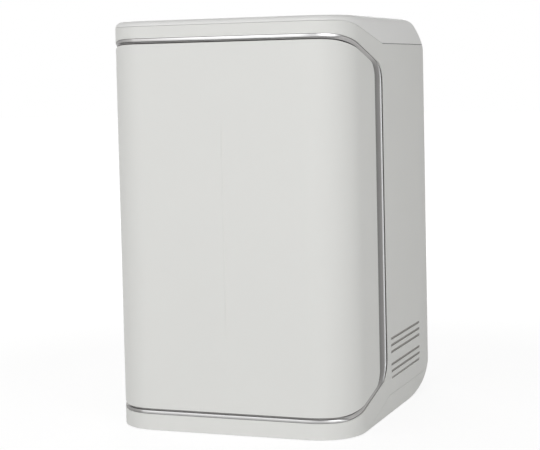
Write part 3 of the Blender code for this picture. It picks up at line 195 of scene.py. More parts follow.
def panel_light(name, place, target, size, power):
    data = bpy.data.lights.new(name, "AREA")
    data.shape = "RECTANGLE"
    data.size = size[0]
    data.size_y = size[1]
    data.energy = power
    lamp = bpy.data.objects.new(name, data)
    bpy.context.scene.collection.objects.link(lamp)
    lamp.location = place
    aim = Vector(target) - Vector(place)
    lamp.rotation_euler = aim.to_track_quat("-Z", "Y").to_euler()
    return lamp


# Each panel has its name, its place, its width and height, and its watts.
PANELS = (("right_panel", (2.14, -1.8, 0.6), (1.8, 1.4), 32),
          ("front_panel", (-1.4, -2.42, 0.6), (3.2, 2.0), 39),
          ("left_panel", (-2.4, -0.64, 0.6), (1.2, 1.2), 3),
          ("top_panel", (0.0, -0.3, 2.6), (1.4, 1.4), 5),
          ("rear_panel_light", (-0.9, 2.6, 1.4), (1.6, 1.2), 22))
MIDDLE = (0, 0, (cad_low.z + cad_high.z) / 2)

make_world()
for name, place, size, power in PANELS:
    panel_light(name, place, MIDDLE, size, power)
bpy.context.scene.view_settings.view_transform = "Standard"

# %% Floor
FLOOR_HALF = 12.0
FLOOR_COLOUR, SEEN_COLOUR = (0.80, 0.80, 0.80, 1), (0.22, 0.22, 0.22, 1)
FADE_START, FADE_END = 0.5, 1.6
NEAR_GLOW, FAR_GLOW = 0.86, 1.0


def make_floor():
    shape = bmesh.new()
    bmesh.ops.create_grid(shape, x_segments=1, y_segments=1, size=FLOOR_HALF)
    mesh = bpy.data.meshes.new("floor")
    shape.to_mesh(mesh)
    shape.free()
    floor = bpy.data.objects.new("floor", mesh)
    bpy.context.scene.collection.objects.link(floor)
    paint = bpy.data.materials.new("floor_white")
    paint.use_nodes = True
    tree = paint.node_tree
    tree.nodes.clear()
    plain = tree.nodes.new("ShaderNodeBsdfDiffuse")
    plain.inputs["Color"].default_value = FLOOR_COLOUR
    soft = tree.nodes.new("ShaderNodeBsdfDiffuse")
    soft.inputs["Color"].default_value = SEEN_COLOUR
    glow = tree.nodes.new("ShaderNodeEmission")
    glow.inputs["Color"].default_value = WHITE
    where = tree.nodes.new("ShaderNodeTexCoord")
    away = tree.nodes.new("ShaderNodeVectorMath")
    away.operation = "LENGTH"
    fade = tree.nodes.new("ShaderNodeMapRange")
    for socket, value in (("From Min", FADE_START), ("From Max", FADE_END),
                          ("To Min", NEAR_GLOW), ("To Max", FAR_GLOW)):
        fade.inputs[socket].default_value = value
    total = tree.nodes.new("ShaderNodeAddShader")
    mix = tree.nodes.new("ShaderNodeMixShader")
    out = tree.nodes.new("ShaderNodeOutputMaterial")
    links(tree, [(where.outputs["Object"], away.inputs[0]),
                 (away.outputs["Value"], fade.inputs["Value"]),
                 (fade.outputs["Result"], glow.inputs["Strength"]),
                 (soft.outputs[0], total.inputs[0]), (glow.outputs[0], total.inputs[1]),
                 (seen_rays(tree), mix.inputs[0]), (plain.outputs[0], mix.inputs[1]),
                 (total.outputs[0], mix.inputs[2]), (mix.outputs[0], out.inputs[0])])
    mesh.materials.append(paint)
    return floor


print("floor:", make_floor().name)

# %% [markdown]
# ## Finishes
#
# Each finish is a Principled shader whose roughness, colour and bump come from noise on
# object coordinates. Moulded plastic has a very fine grain and a slow, faint change in
# tone. Brushed or drawn metal is the same noise stretched along one direction. A painted
# image could do the same, but noise has no seams and needs no unwrapping.
# %% Noise helpers
SLOW_SCALE, GRAIN_SCALE = 14.0, 2500.0
NOISE_LOW, NOISE_HIGH = 0.3, 0.7


def scaled_noise(tree, stretch, scale, detail=3.0):
    """Noise on object coordinates, with its own stretch along each axis."""
    place = tree.nodes.new("ShaderNodeTexCoord")
    mapping = tree.nodes.new("ShaderNodeMapping")
    mapping.inputs["Scale"].default_value = stretch
    noise = tree.nodes.new("ShaderNodeTexNoise")
    noise.inputs["Scale"].default_value = scale
    noise.inputs["Detail"].default_value = detail
    links(tree, [(place.outputs["Object"], mapping.inputs["Vector"]),
                 (mapping.outputs["Vector"], noise.inputs["Vector"])])
    return noise.outputs["Fac"]


def ranged(tree, value, low, high):
    """The useful middle of a noise value, stretched over a range from low to high."""
    change = tree.nodes.new("ShaderNodeMapRange")
    change.inputs["From Min"].default_value = NOISE_LOW
    change.inputs["From Max"].default_value = NOISE_HIGH
    change.inputs["To Min"].default_value = low
    change.inputs["To Max"].default_value = high
    links(tree, [(value, change.inputs["Value"])])
    return change.outputs["Result"]


print("finest grain: %.1f mm" % (1 / GRAIN_SCALE / MM))

# %% Finish maker
GRAIN_HEIGHT = 0.1 * MM
# A Mix node has a socket for every kind of value, and these are its colour ones.
MIX_FIRST, MIX_SECOND, MIX_RESULT = 6, 7, 2
made_finishes = {}


def finish(name, colour, rough, metallic=0.0, grain=GRAIN_SCALE, depth=0.02,
           stretch=(1, 1, 1), tone=0.03, rough_spread=0.04, gloss=0.5, painted_light_and_shade=None):
    """Principled finish with fine bump, uneven roughness and a faint change in tone.

    depth is the strength of the bump and gloss the specular level. The last argument is a
    second colour for painted light or shade, reached where the mesh's tone attribute is 1.
    """
    if name in made_finishes:
        return made_finishes[name]
    paint = bpy.data.materials.new(name)
    paint.use_nodes = True
    tree = paint.node_tree
    shader = tree.nodes["Principled BSDF"]
    shader.inputs["Metallic"].default_value = metallic
    shader.inputs["Specular IOR Level"].default_value = gloss
    slow = scaled_noise(tree, stretch, SLOW_SCALE)
    mix = tree.nodes.new("ShaderNodeMix")
    mix.data_type = "RGBA"
    mix.inputs[MIX_FIRST].default_value = (*[c * (1 - tone) for c in colour], 1)
    mix.inputs[MIX_SECOND].default_value = (*[min(c * (1 + tone), 1) for c in colour], 1)
    hue = mix.outputs[MIX_RESULT]
    # The tone attribute mixes in the second colour, which is painted light or shade.
    if painted_light_and_shade:
        value = tree.nodes.new("ShaderNodeAttribute")
        value.attribute_name = "tone"
        shade = tree.nodes.new("ShaderNodeMix")
        shade.data_type = "RGBA"
        shade.inputs[MIX_SECOND].default_value = (*painted_light_and_shade, 1)
        links(tree, [(value.outputs["Fac"], shade.inputs[0]), (hue, shade.inputs[MIX_FIRST])])
        hue = shade.outputs[MIX_RESULT]
    fine = scaled_noise(tree, stretch, grain, detail=2.0)
    bump = tree.nodes.new("ShaderNodeBump")
    bump.inputs["Strength"].default_value = depth
    bump.inputs["Distance"].default_value = GRAIN_HEIGHT
    links(tree, [(slow, mix.inputs[0]), (hue, shader.inputs["Base Color"]),
                 (ranged(tree, slow, rough - rough_spread, rough + rough_spread),
                  shader.inputs["Roughness"]),
                 (fine, bump.inputs["Height"]), (bump.outputs["Normal"], shader.inputs["Normal"])])
    made_finishes[name] = paint
    return paint


print("height of the grain: %.1f mm times each finish's depth" % (GRAIN_HEIGHT / MM))

# %% [markdown]
# ## White mouldings
#
# The body, the door and the base are satin white plastic, a touch warm, with hardly any
# gloss. The cover is a shade paler. Each could be one flat colour, but the vent slots and
# the seam under the cover get painted shade, a darker colour where little light gets in.
# That painted shade is the second colour, which the tone attribute brings in.
# %% White mouldings
def white_moulding():
    # The second colour is painted shade inside the vent slots.
    return finish("white_moulding", (0.800, 0.804, 0.784), 0.50, depth=0.10, tone=0.006,
                  gloss=0.04, painted_light_and_shade=(0.42, 0.41, 0.40))


def cover_moulding():
    # The second colour is painted shade in the seam under the cover.
    return finish("cover_moulding", (0.875, 0.877, 0.868), 0.50, depth=0.12, tone=0.006,
                  gloss=0.04, painted_light_and_shade=(0.10, 0.10, 0.10))


print("whites:", white_moulding().name, cover_moulding().name)

# %% [markdown]
# ## Trim, metals and the rest
#
# The silver bead is plated plastic and mirrors the room, so it looks bright on the front
# and dark where it slants. Its second colour is a painted dark reflection that stands in
# for that. The channel inside it is dark grey paint; its paler second colour is painted
# light where light falls on it, and the darker stretch left by the door is painted shade.
# Sheet steel is brushed along its length. What can't be seen in the photograph has the
# usual colours of such parts: black connectors, blue cartridges and collets, a green
# board.
# %% Trim, metals and the rest
def silver_plating():
    # The second colour is a painted dark reflection.
    return finish("silver_plating", (0.66, 0.665, 0.67), 0.36, 1.0, grain=900, depth=0.05,
                  stretch=(1, 1, 6), tone=0.03, painted_light_and_shade=(0.25, 0.245, 0.24))


def channel_paint():
    # The second colour is painted light on the channel.
    return finish("channel_paint", (0.105, 0.103, 0.10), 0.5, grain=1800, depth=0.08,
                  gloss=0.15, painted_light_and_shade=(0.56, 0.55, 0.545))


def grey_moulding():
    return finish("grey_moulding", (0.42, 0.44, 0.46), 0.45, depth=0.25, tone=0.02)


def pale_grey_moulding():
    return finish("pale_grey_moulding", (0.66, 0.67, 0.67), 0.42, depth=0.2, tone=0.02)


def black_moulding():
    return finish("black_moulding", (0.030, 0.031, 0.034), 0.42, depth=0.3, tone=0.06)


def blue_moulding():
    return finish("blue_moulding", (0.060, 0.235, 0.42), 0.34, depth=0.12, tone=0.04)


def brushed_steel():
    return finish("brushed_steel", (0.60, 0.61, 0.62), 0.30, 1.0, grain=700, depth=0.15,
                  stretch=(1, 12, 12), tone=0.04)


def foot_rubber():
    return finish("foot_rubber", (0.022, 0.022, 0.024), 0.85, grain=1400, depth=0.5, tone=0.1)


def green_board():
    return finish("green_board", (0.015, 0.13, 0.06), 0.38, grain=900, depth=0.15, tone=0.12)


def filter_felt():
    return finish("filter_felt", (0.42, 0.41, 0.39), 0.9, grain=3000, depth=0.5, tone=0.08,
                  gloss=0.1)


def hose_plastic():
    return finish("hose_plastic", (0.72, 0.76, 0.78), 0.22, depth=0.05, tone=0.02)


print("trim finishes:", silver_plating().name, channel_paint().name)

# %% [markdown]
# ## Dressing a solid
#
# The imported solids are loose triangles, which would show every facet. A copy has its
# doubles merged and its coplanar triangles joined, its real edges get a small round,
# and smooth shading with weighted normals keeps the flats flat.
# %% Dressing helper
BODY_OF = {node: body for body, listed in frame["record"]["behaviour"]["bodies"].items()
           for node in listed}
DOUBLES = 0.01 * MM
COPLANAR = math.radians(0.5)
PIN_EDGE, SHEET_EDGE, MODULE_EDGE = 0.1 * MM, 0.2 * MM, 0.3 * MM
RUBBER_EDGE, PANEL_EDGE, CASE_EDGE = 0.4 * MM, 0.5 * MM, 0.6 * MM
SHARP_ANGLE = math.radians(35)
FLAT_WEIGHT = 80


def merged_copy(node):
    """A solid as a bmesh with its loose triangles joined up."""
    shape = bmesh.new()
    shape.from_mesh(nodes_in[node].data)
    bmesh.ops.remove_doubles(shape, verts=shape.verts, dist=DOUBLES)
    bmesh.ops.dissolve_limit(shape, angle_limit=COPLANAR, verts=shape.verts,
                             edges=shape.edges, delimit={"NORMAL"})
    return shape


def round_these(shape, edges, width, segments=2):
    bmesh.ops.bevel(shape, geom=edges, offset=width, offset_type="OFFSET", affect="EDGES",
                    segments=segments, profile=0.5, material=-1, clamp_overlap=True)


def round_edges(shape, width):
    """Round every sharp edge between two faces."""
    sharp = [edge for edge in shape.edges
             if len(edge.link_faces) == 2 and edge.calc_face_angle(0) > SHARP_ANGLE]
    if width > 0 and sharp:
        round_these(shape, sharp, width)
    return shape


def as_piece(shape, name, paint, body, smooth_angle=40.0):
    """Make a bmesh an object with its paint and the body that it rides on."""
    mesh = bpy.data.meshes.new(name)
    shape.to_mesh(mesh)
    shape.free()
    mesh.shade_smooth()
    mesh.set_sharp_from_angle(angle=math.radians(smooth_angle))
    mesh.materials.append(paint)
    piece = bpy.data.objects.new(name, mesh)
    bpy.context.scene.collection.objects.link(piece)
    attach(piece, body)
    return piece


def weigh_normals(piece):
    weights = piece.modifiers.new("weighted_normals", "WEIGHTED_NORMAL")
    weights.keep_sharp = True
    weights.weight = FLAT_WEIGHT
    return piece


def dress(node, paint, edge):
    """Put a finished copy in the place of a plain solid."""
    shape = round_edges(merged_copy(node), edge)
    piece = as_piece(shape, node + "_finished", paint, BODY_OF[node])
    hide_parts(node)
    return weigh_normals(piece)


def dressed():
    """Names of the pieces that stand for a solid one to one."""
    return [piece.name for piece in bpy.data.objects if piece.name.endswith("_finished")]


# %% [markdown]
# ## The body shell
#
# The shell is dressed like any solid, but the mouths of its six vent slots have a wider
# round, as moulded slots do, and the plastic inside them gets painted shade, the darker
# tone. The slots are part of the solid, so only their edges need finding: they are the
# sharp ones on the right wall, low down and behind the front corner.
# %% Dress the shell
VENT_ROUND = 1.0 * MM
VENT_X = HALF_WIDTH - 1 * MM
VENT_FOOT, VENT_TOP = 45 * MM, 105 * MM
VENT_ANGLE, SHELL_ANGLE = 0.5, 0.6
PAINTED_SHADE_DEPTH = (0.3 * MM, 3 * MM)


def among_vents(vert):
    return VENT_FOOT < vert.co.z < VENT_TOP and vert.co.y > CORNER + FRONT_Y


def dress_shell():
    """Dress the shell, with wider rounds at the vent slots' mouths and painted shade inside."""
    shape = merged_copy("body_shell")
    slots = [edge for edge in shape.edges if edge.calc_face_angle(0) > VENT_ANGLE
             and all(vert.co.x > VENT_X and among_vents(vert) for vert in edge.verts)]
    round_these(shape, slots, VENT_ROUND, segments=3)
    others = [edge for edge in shape.edges if edge.calc_face_angle(0) > SHELL_ANGLE
              and not all(vert.co.x > VENT_X and VENT_FOOT < vert.co.z < VENT_TOP
                          for vert in edge.verts)]
    round_these(shape, others, CASE_EDGE)
    # Painted shade: the plastic from 0.3 to 3 mm inside the vent slots takes the darker colour.
    layer = shape.verts.layers.float.new("tone")
    for vert in shape.verts:
        sunk = HALF_WIDTH - vert.co.x
        if PAINTED_SHADE_DEPTH[0] < sunk < PAINTED_SHADE_DEPTH[1] and among_vents(vert):
            vert[layer] = 1.0
    piece = as_piece(shape, "body_shell_finished", white_moulding(), "root")
    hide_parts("body_shell")
    print("vent edges rounded:", len(slots))
    return weigh_normals(piece)


dress_shell()

# %% [markdown]
# ## The top cover
#
# The cover is its own moulding, and a dark line of shade shows where it sits on the body.
# The gap is real but thinner than a pixel, so its shade is painted on the lower rim in the
# darker tone, faint at the front and stronger along the sides. Two cuts just above the rim
# keep that painted shade from spreading up the wall, because an attribute fades from one
# vertex to the next.
# %% Dress the cover
RIM_BAND = 0.9 * CASE_EDGE
RIM_CUTS = (0.3 * MM, 0.7 * MM)
RIM_TOP = 0.4 * MM
UNDERSIDE = (-0.85, -0.25)
RIM_PAINTED_SHADE, RIM_SIDE_PAINTED_SHADE = 0.15, 0.75
RIM_TURN_SHARE = 0.4


def dress_cover():
    """Dress the cover and paint shade on its lower rim, more on the sides than at the front."""
    shape = round_edges(merged_copy("top_cover"), CASE_EDGE)
    rim = min(vert.co.z for vert in shape.verts if vert.co.x > HALF_WIDTH - RIM_BAND)
    for lift in RIM_CUTS:
        parts = shape.verts[:] + shape.edges[:] + shape.faces[:]
        bmesh.ops.bisect_plane(shape, geom=parts, plane_co=(0, 0, rim + lift),
                               plane_no=(0, 0, 1))
    layer = shape.verts.layers.float.new("tone")
    # Painted shade of the seam: the lower rim and the faces turned downwards take the darker
    # colour, fainter at the front.
    shape.normal_update()
    for vert in shape.verts:
        if vert.co.z < rim + RIM_TOP or UNDERSIDE[0] < vert.normal.z < UNDERSIDE[1]:
            behind = (vert.co.y - FRONT_Y) / CORNER - RIM_TURN_SHARE
            vert[layer] = RIM_PAINTED_SHADE + RIM_SIDE_PAINTED_SHADE * min(1, max(0, behind))
    piece = as_piece(shape, "top_cover_finished", cover_moulding(), "root")
    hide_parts("top_cover")
    print("cover rim at %.1f mm" % (rim / MM))
    return weigh_normals(piece)


dress_cover()

# %% [markdown]
# ## The base, the rear panel and the feet
#
# The base pan and the rear panel close the case, and four rubber feet carry it. Their
# solids have the right form already, so each only gets its finish and a small round. It
# could be cut into the solids too, but as a bevel on a copy it costs nothing to change.
# %% Dress the base, the rear panel and the feet
dress("base_pan", white_moulding(), CASE_EDGE)
dress("rear_panel", pale_grey_moulding(), PANEL_EDGE)
for number in (1, 2, 3, 4):
    dress("foot_%d" % number, foot_rubber(), RUBBER_EDGE)
print("dressed so far:", len(dressed()))

# %% [markdown]
# ## The dust filter behind the vents
#
# Seen from outside, each vent slot ends on a pale strip of filter felt, which keeps it
# from looking like a black hole. A strip starts as a small grid, its ends are drawn in
# to a half round, and solidify gives it its thickness.
# %% Vent filter
VENT_PITCH = 8.4 * MM
VENT_GROUPS = (52.5 * MM, 85.3 * MM)
VENT_START, VENT_STOP = -24 * MM, 112 * MM
STRIP_HALF, STRIP_END_GAP = 1.12 * MM, 0.1 * MM
STRIP_DEPTH, STRIP_WALL = 1.5 * MM, 0.6 * MM
STRIP_COLUMNS = 40
TIP_LEAST = 0.04


def vent_filter():
    shape = bmesh.new()
    middle = (VENT_START + VENT_STOP) / 2
    half = (VENT_STOP - VENT_START) / 2 - STRIP_END_GAP
    for height in [group + step * VENT_PITCH for group in VENT_GROUPS for step in (-1, 0, 1)]:
        strip = bmesh.ops.create_grid(shape, x_segments=STRIP_COLUMNS, y_segments=2, size=1.0)
        for vert in strip["verts"]:
            from_end = (1 - abs(vert.co.x)) * half
            lean = max(0.0, 1 - from_end / STRIP_HALF)
            high = vert.co.y * STRIP_HALF * math.sqrt(max(1 - lean * lean, TIP_LEAST))
            vert.co = Vector((HALF_WIDTH - STRIP_DEPTH, middle + vert.co.x * half, height + high))
    bmesh.ops.recalc_face_normals(shape, faces=shape.faces)
    bmesh.ops.solidify(shape, geom=shape.faces[:], thickness=STRIP_WALL)
    bmesh.ops.recalc_face_normals(shape, faces=shape.faces)
    reach = max(vert.co.x for vert in shape.verts)
    bmesh.ops.translate(shape, verts=shape.verts, vec=(HALF_WIDTH - STRIP_DEPTH - reach, 0, 0))
    return as_piece(shape, "vent_filter", filter_felt(), "root",
                    smooth_angle=30)


print("filter strips:", len(vent_filter().data.polygons), "faces")

# %% [markdown]
# ## Outlines of the door and the trim
#
# A place on the front of the unit has two numbers: how far along the wrap it is, and
# its height. The wrap runs flat across the front, round the corner arc, then straight
# back along the side. Insetting it moves the place inwards at right angles.
# %% Wrap
FLAT_HALF = HALF_WIDTH - CORNER


def wrap_point(kind, amount, height, inset, side=1):
    """World point on the wrap: kind is flat, arc or side, amount its x, angle or depth."""
    if kind == "flat":
        x, depth = amount, inset
    elif kind == "arc":
        x = FLAT_HALF + (CORNER - inset) * math.sin(amount)
        depth = CORNER - (CORNER - inset) * math.cos(amount)
    else:
        x, depth = HALF_WIDTH - inset, amount
    return Vector((side * x, FRONT_Y + depth, height))


def wrap_depth(kind, amount):
    """Depth behind the front of a place on the outer surface."""
    return {"flat": 0.0, "arc": CORNER * (1 - math.cos(amount)), "side": amount}[kind]


print("wrap: flat for %.0f mm, then round a corner of %.0f mm" % (2 * FLAT_HALF / MM, CORNER / MM))

# %% Bands
BEND_FILLET = 80 * MM


class Band:
    """Outline of the door or the trim: level, slanted from a bend, rounded at the rear."""

    def __init__(self, top, bottom, edge, fillet, grow):
        """top and bottom are (height, depth of the bend, change in height behind it)."""
        self.edge = edge + grow
        self.fillet = fillet + grow
        self.lines = {}
        for upper, sign, (height, bend, change) in ((True, 1, top), (False, -1, bottom)):
            slope = -sign * change / (self.edge - bend)
            self.lines[upper] = (height + sign * grow, bend, slope)

    def slanted(self, depth, upper):
        """Height of the level and slanted line, its bend eased by a wide arc."""
        height, bend, slope = self.lines[upper]
        angle = math.atan(abs(slope))
        reach = BEND_FILLET * math.tan(angle / 2)
        run = depth - (bend - reach)
        if run <= 0:
            return height
        if depth >= bend + reach * math.cos(angle):
            return height + slope * (depth - bend)
        return height + math.copysign(BEND_FILLET - math.sqrt(BEND_FILLET ** 2 - run ** 2), slope)

    def corner(self, upper):
        """Fillet centre and the depth at which the fillet leaves the slanted line."""
        height, bend, slope = self.lines[upper]
        sign = -1 if upper else 1
        centre_depth = self.edge - self.fillet
        reach = self.fillet * math.sqrt(1 + slope * slope)
        centre_height = height + slope * (centre_depth - bend) + sign * reach
        end_depth = centre_depth + self.fillet * math.sin(math.atan(slope)) * sign
        return centre_depth, centre_height, end_depth

    def height(self, depth, upper):
        """Height of the top or bottom edge at a depth behind the front."""
        centre_depth, centre_height, end_depth = self.corner(upper)
        if depth <= end_depth:
            return self.slanted(depth, upper)
        away = min(depth - centre_depth, self.fillet)
        rise = math.sqrt(max(self.fillet ** 2 - away ** 2, 0))
        return centre_height + (rise if upper else -rise)


HEIGHT = cad_high.z
# Each edge has its distance from the top or the bottom of the unit, the depth of its
# bend, and how far it moves in by the rear edge.
DOOR_TOP, DOOR_BOTTOM = (27.9 * MM, 11.5 * MM, 30.5 * MM), (27.2 * MM, 16 * MM, 21.4 * MM)
TRIM_TOP, TRIM_BOTTOM = (20.9 * MM, 14 * MM, 39.6 * MM), (20.4 * MM, 20 * MM, 29.6 * MM)
DOOR_FILLET, TRIM_FILLET = 22 * MM, 27 * MM
TRIM_EDGE = 153.5 * MM


def door_band(grow):
    return Band((HEIGHT - DOOR_TOP[0], *DOOR_TOP[1:]), DOOR_BOTTOM, DOOR_DEPTH, DOOR_FILLET, grow)


def trim_band(grow):
    return Band((HEIGHT - TRIM_TOP[0], *TRIM_TOP[1:]), TRIM_BOTTOM, TRIM_EDGE, TRIM_FILLET, grow)


print("door top: %.1f mm at the front, %.1f mm at 80 mm back"
      % (door_band(0).height(0, True) / MM, door_band(0).height(80 * MM, True) / MM))

# %% [markdown]
# ## The front door
#
# The door skin is one thin moulding. A grid is laid on the wrap, with closer columns
# where it bends and where the corners of the outline are rounded. It is then given its
# wall, and a small round all along the rim, which catches the light as a fine line.
# %% Door skin
FLAT_COLUMNS = 8
ARC_COLUMNS = 18
SIDE_COLUMNS = 5
FILLET_COLUMNS = 10
DOOR_ROWS = 24
DOOR_WALL, DOOR_RIM = 3 * MM, 0.9 * MM
RIM_SEGMENTS, RIM_ANGLE = 3, math.radians(50)


def half_columns(band):
    """Places on the right half of the wrap, from the front middle to the rear edge."""
    places = [("flat", FLAT_HALF * step / FLAT_COLUMNS) for step in range(FLAT_COLUMNS)]
    places += [("arc", math.pi / 2 * step / ARC_COLUMNS) for step in range(ARC_COLUMNS)]
    end = min(band.corner(True)[2], band.corner(False)[2])
    run = end - CORNER
    places += [("side", CORNER + run * step / SIDE_COLUMNS) for step in range(SIDE_COLUMNS)]
    reach = band.edge - end
    for step in range(FILLET_COLUMNS + 1):
        bend = math.pi / 2 * step / FILLET_COLUMNS
        places.append(("side", end + reach * math.sin(bend)))
    return places


def wrap_sheet(band, rows):
    """Grid on the wrap inside a band, as a bmesh."""
    half = half_columns(band)
    columns = [(place, -1) for place in reversed(half[1:])] + [(place, 1) for place in half]
    shape = bmesh.new()
    bmesh.ops.create_grid(shape, x_segments=len(columns) - 1, y_segments=rows, size=1.0)
    order = sorted(shape.verts, key=lambda vert: (round(vert.co.x, 5), vert.co.y))
    for index, vert in enumerate(order):
        (kind, amount), side = columns[index // (rows + 1)]
        share = (index % (rows + 1)) / rows
        depth = wrap_depth(kind, amount)
        low, high = band.height(depth, False), band.height(depth, True)
        vert.co = wrap_point(kind, amount, low + (high - low) * share, 0, side)
    bmesh.ops.recalc_face_normals(shape, faces=shape.faces)
    front = min(shape.faces, key=lambda face: face.calc_center_median().y)
    if front.normal.y > 0:
        bmesh.ops.reverse_faces(shape, faces=shape.faces)
    return shape


def walled(piece, thickness, rim):
    wall = piece.modifiers.new("wall", "SOLIDIFY")
    wall.thickness = thickness
    wall.offset = -1
    wall.use_even_offset = True
    soft = piece.modifiers.new("rim", "BEVEL")
    soft.width = rim
    soft.segments = RIM_SEGMENTS
    soft.limit_method = "ANGLE"
    soft.angle_limit = RIM_ANGLE
    return weigh_normals(piece)


door = as_piece(wrap_sheet(door_band(0), DOOR_ROWS), "door_skin", white_moulding(),
                "door", smooth_angle=60)
walled(door, DOOR_WALL, DOOR_RIM)
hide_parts("front_door")
print("door skin faces:", len(door.data.polygons))

# %% [markdown]
# ## The raised line on the door
#
# A fine rib runs up the middle of the door and fades at both ends. A narrow grid is
# lifted to a rounded crown whose height drops to nothing at the ends.
# %% Door rib
RIB_LOW, RIB_HIGH = 109 * MM, HEIGHT - 113 * MM
RIB_WIDTH, RIB_HEIGHT = 1.6 * MM, 0.4 * MM
RIB_SINK = 0.02 * MM
RIB_FADE_SHARE = 0.06
RIB_COLUMNS, RIB_ROWS = 8, 60


def door_rib():
    shape = bmesh.new()
    bmesh.ops.create_grid(shape, x_segments=RIB_COLUMNS, y_segments=RIB_ROWS, size=1.0)
    for vert in shape.verts:
        share = (vert.co.y + 1) / 2
        fade = min(min(share, 1 - share) / RIB_FADE_SHARE, 1.0)
        fade = fade * fade * (3 - 2 * fade)
        crown = math.cos(vert.co.x * math.pi / 2) ** 2
        proud = RIB_HEIGHT * crown * fade - RIB_SINK * (1 - crown)
        vert.co = Vector((vert.co.x * RIB_WIDTH / 2, FRONT_Y - proud,
                          RIB_LOW + (RIB_HIGH - RIB_LOW) * share))
    bmesh.ops.recalc_face_normals(shape, faces=shape.faces)
    if max(shape.faces, key=lambda face: face.calc_area()).normal.y > 0:
        bmesh.ops.reverse_faces(shape, faces=shape.faces)
    return as_piece(shape, "door_rib", white_moulding(), "door",
                    smooth_angle=80)


print("rib length: %.0f mm" % ((RIB_HIGH - RIB_LOW) / MM), door_rib().name)

# %% [markdown]
# ## The trim ring
#
# Round the door runs a dark channel, narrow at the top and bottom and wide enough at the
# sides for fingers, and outside it a silver bead. Both are swept loops: a circle of
# vertices is laid on the first outline, and its edges are extruded from one outline to
# the next while the inset follows the section.
# %% Swept loops
FLAT_STEPS = 6
ARC_STEPS = 16
STRAIGHT_STEPS = 4
FILLET_STEPS = 9
UPRIGHT_STEPS = 8


def half_loop(band):
    """Right half of an outline, from the bottom middle round to the top middle."""
    def edge_run(upper):
        centre_depth, centre_height, end_depth = band.corner(upper)
        run = [("flat", FLAT_HALF * step / FLAT_STEPS) for step in range(FLAT_STEPS)]
        run += [("arc", math.pi / 2 * step / ARC_STEPS) for step in range(ARC_STEPS)]
        reach = end_depth - CORNER
        run += [("side", CORNER + reach * step / STRAIGHT_STEPS)
                for step in range(STRAIGHT_STEPS)]
        placed = [(kind, amount, band.height(wrap_depth(kind, amount), upper))
                  for kind, amount in run]
        start = math.acos(max(-1.0, min(1.0, (end_depth - centre_depth) / band.fillet)))
        for step in range(FILLET_STEPS):
            bend = start * (1 - step / FILLET_STEPS)
            rise = band.fillet * math.sin(bend)
            placed.append(("side", centre_depth + band.fillet * math.cos(bend),
                           centre_height + (rise if upper else -rise)))
        return placed, centre_height
    low_run, low_end = edge_run(False)
    high_run, high_end = edge_run(True)
    upright = [("side", band.edge, low_end + (high_end - low_end) * step / UPRIGHT_STEPS)
               for step in range(UPRIGHT_STEPS + 1)]
    return low_run + upright + high_run[::-1]


def crossing(band_out, band_in):
    """Pairs of matching places on an outer and an inner outline, right half then left."""
    pairs = list(zip(half_loop(band_out), half_loop(band_in)))
    return [(pair, 1) for pair in pairs] + [(pair, -1) for pair in reversed(pairs[1:-1])]


def gap(pair):
    """Depth and height from a place on the outer outline to its partner on the inner one."""
    (kind, out_at, out_height), (_, in_at, in_height) = pair
    return (in_at - out_at if kind == "side" else 0), in_height - out_height


def between(pair, side, offset, inset):
    """World point a given offset in from the outer outline, towards the inner one."""
    kind, at, height = pair[0]
    run, rise = gap(pair)
    share = offset / math.hypot(run, rise)
    return wrap_point(kind, at + run * share, height + rise * share, inset, side)


print("places round the trim:", len(crossing(trim_band(0), door_band(0))))

# %% Sweep
def sweep(places, name, paint, smooth_angle=50.0):
    """Closed surface through a section; places gives rows of offset, inset and painted light or
    shade.
    """
    count = len(places)
    shape = bmesh.new()
    layer = shape.verts.layers.float.new("tone")
    ring = bmesh.ops.create_circle(shape, cap_ends=False, segments=count, radius=1.0)["verts"]
    for row in range(len(places[0][2])):
        if row:
            edges = [shape.edges.get((ring[i], ring[(i + 1) % count])) for i in range(count)]
            grown = bmesh.ops.extrude_edge_only(shape, edges=edges)["geom"]
            known = set(ring)
            partner = {}
            for vert in [item for item in grown if isinstance(item, bmesh.types.BMVert)]:
                for edge in vert.link_edges:
                    if edge.other_vert(vert) in known:
                        partner[edge.other_vert(vert)] = vert
            ring = [partner[vert] for vert in ring]
        for vert, (pair, side, section) in zip(ring, places):
            offset, inset, tone = section[row]
            vert.co = between(pair, side, offset, inset)
            # The tone is the vertex's share of the second colour, painted light or shade.
            vert[layer] = tone
    loose = [edge for edge in shape.edges if len(edge.link_faces) == 1]
    bmesh.ops.bridge_loops(shape, edges=loose)
    bmesh.ops.recalc_face_normals(shape, faces=shape.faces)
    print(name, "has", len(shape.faces), "faces")
    return as_piece(shape, name, paint, "root", smooth_angle)


# %% [markdown]
# ## How wide the trim is
#
# The trim isn't alike all round. Above and below the door the bead fills the gap, along
# the slanted stretches it thins to a line, and down the sides the channel opens. Two
# numbers from 0 to 1, front and upright, say where on the ring a place is. Every width
# and every tone, the painted light, shade and reflection, follows from them, so that one
# stretch flows into the next.
# %% Trim widths
# The bead's painted dark reflection: how much at the top, how much more at its left end,
# and at the bottom. LEFT_SHADE eases it in where the left corner starts, and UPRIGHT_LIGHT
# takes most of it back down the sides.
FRONT_BEAD, SLANT_BEAD, SIDE_BEAD = 4.3 * MM, 1.0 * MM, 2.2 * MM
FRONT_GROOVE, SIDE_GROOVE = 0.12 * MM, 4.2 * MM
FRONT_ENDS, UPRIGHT_STARTS = (12 * MM, 27 * MM), (122 * MM, 150 * MM)
TOP_REFLECTION, TOP_LEFT_REFLECTION, BOTTOM_REFLECTION = 0.36, 0.5, 0.62
LEFT_SHADE = (0.2 * MM, 1.6 * MM)
UPRIGHT_LIGHT = 0.8


def eased(value, start, end):
    """Smooth step from 0 at start to 1 at end."""
    share = max(0.0, min(1.0, (value - start) / (end - start)))
    return share * share * (3 - 2 * share)


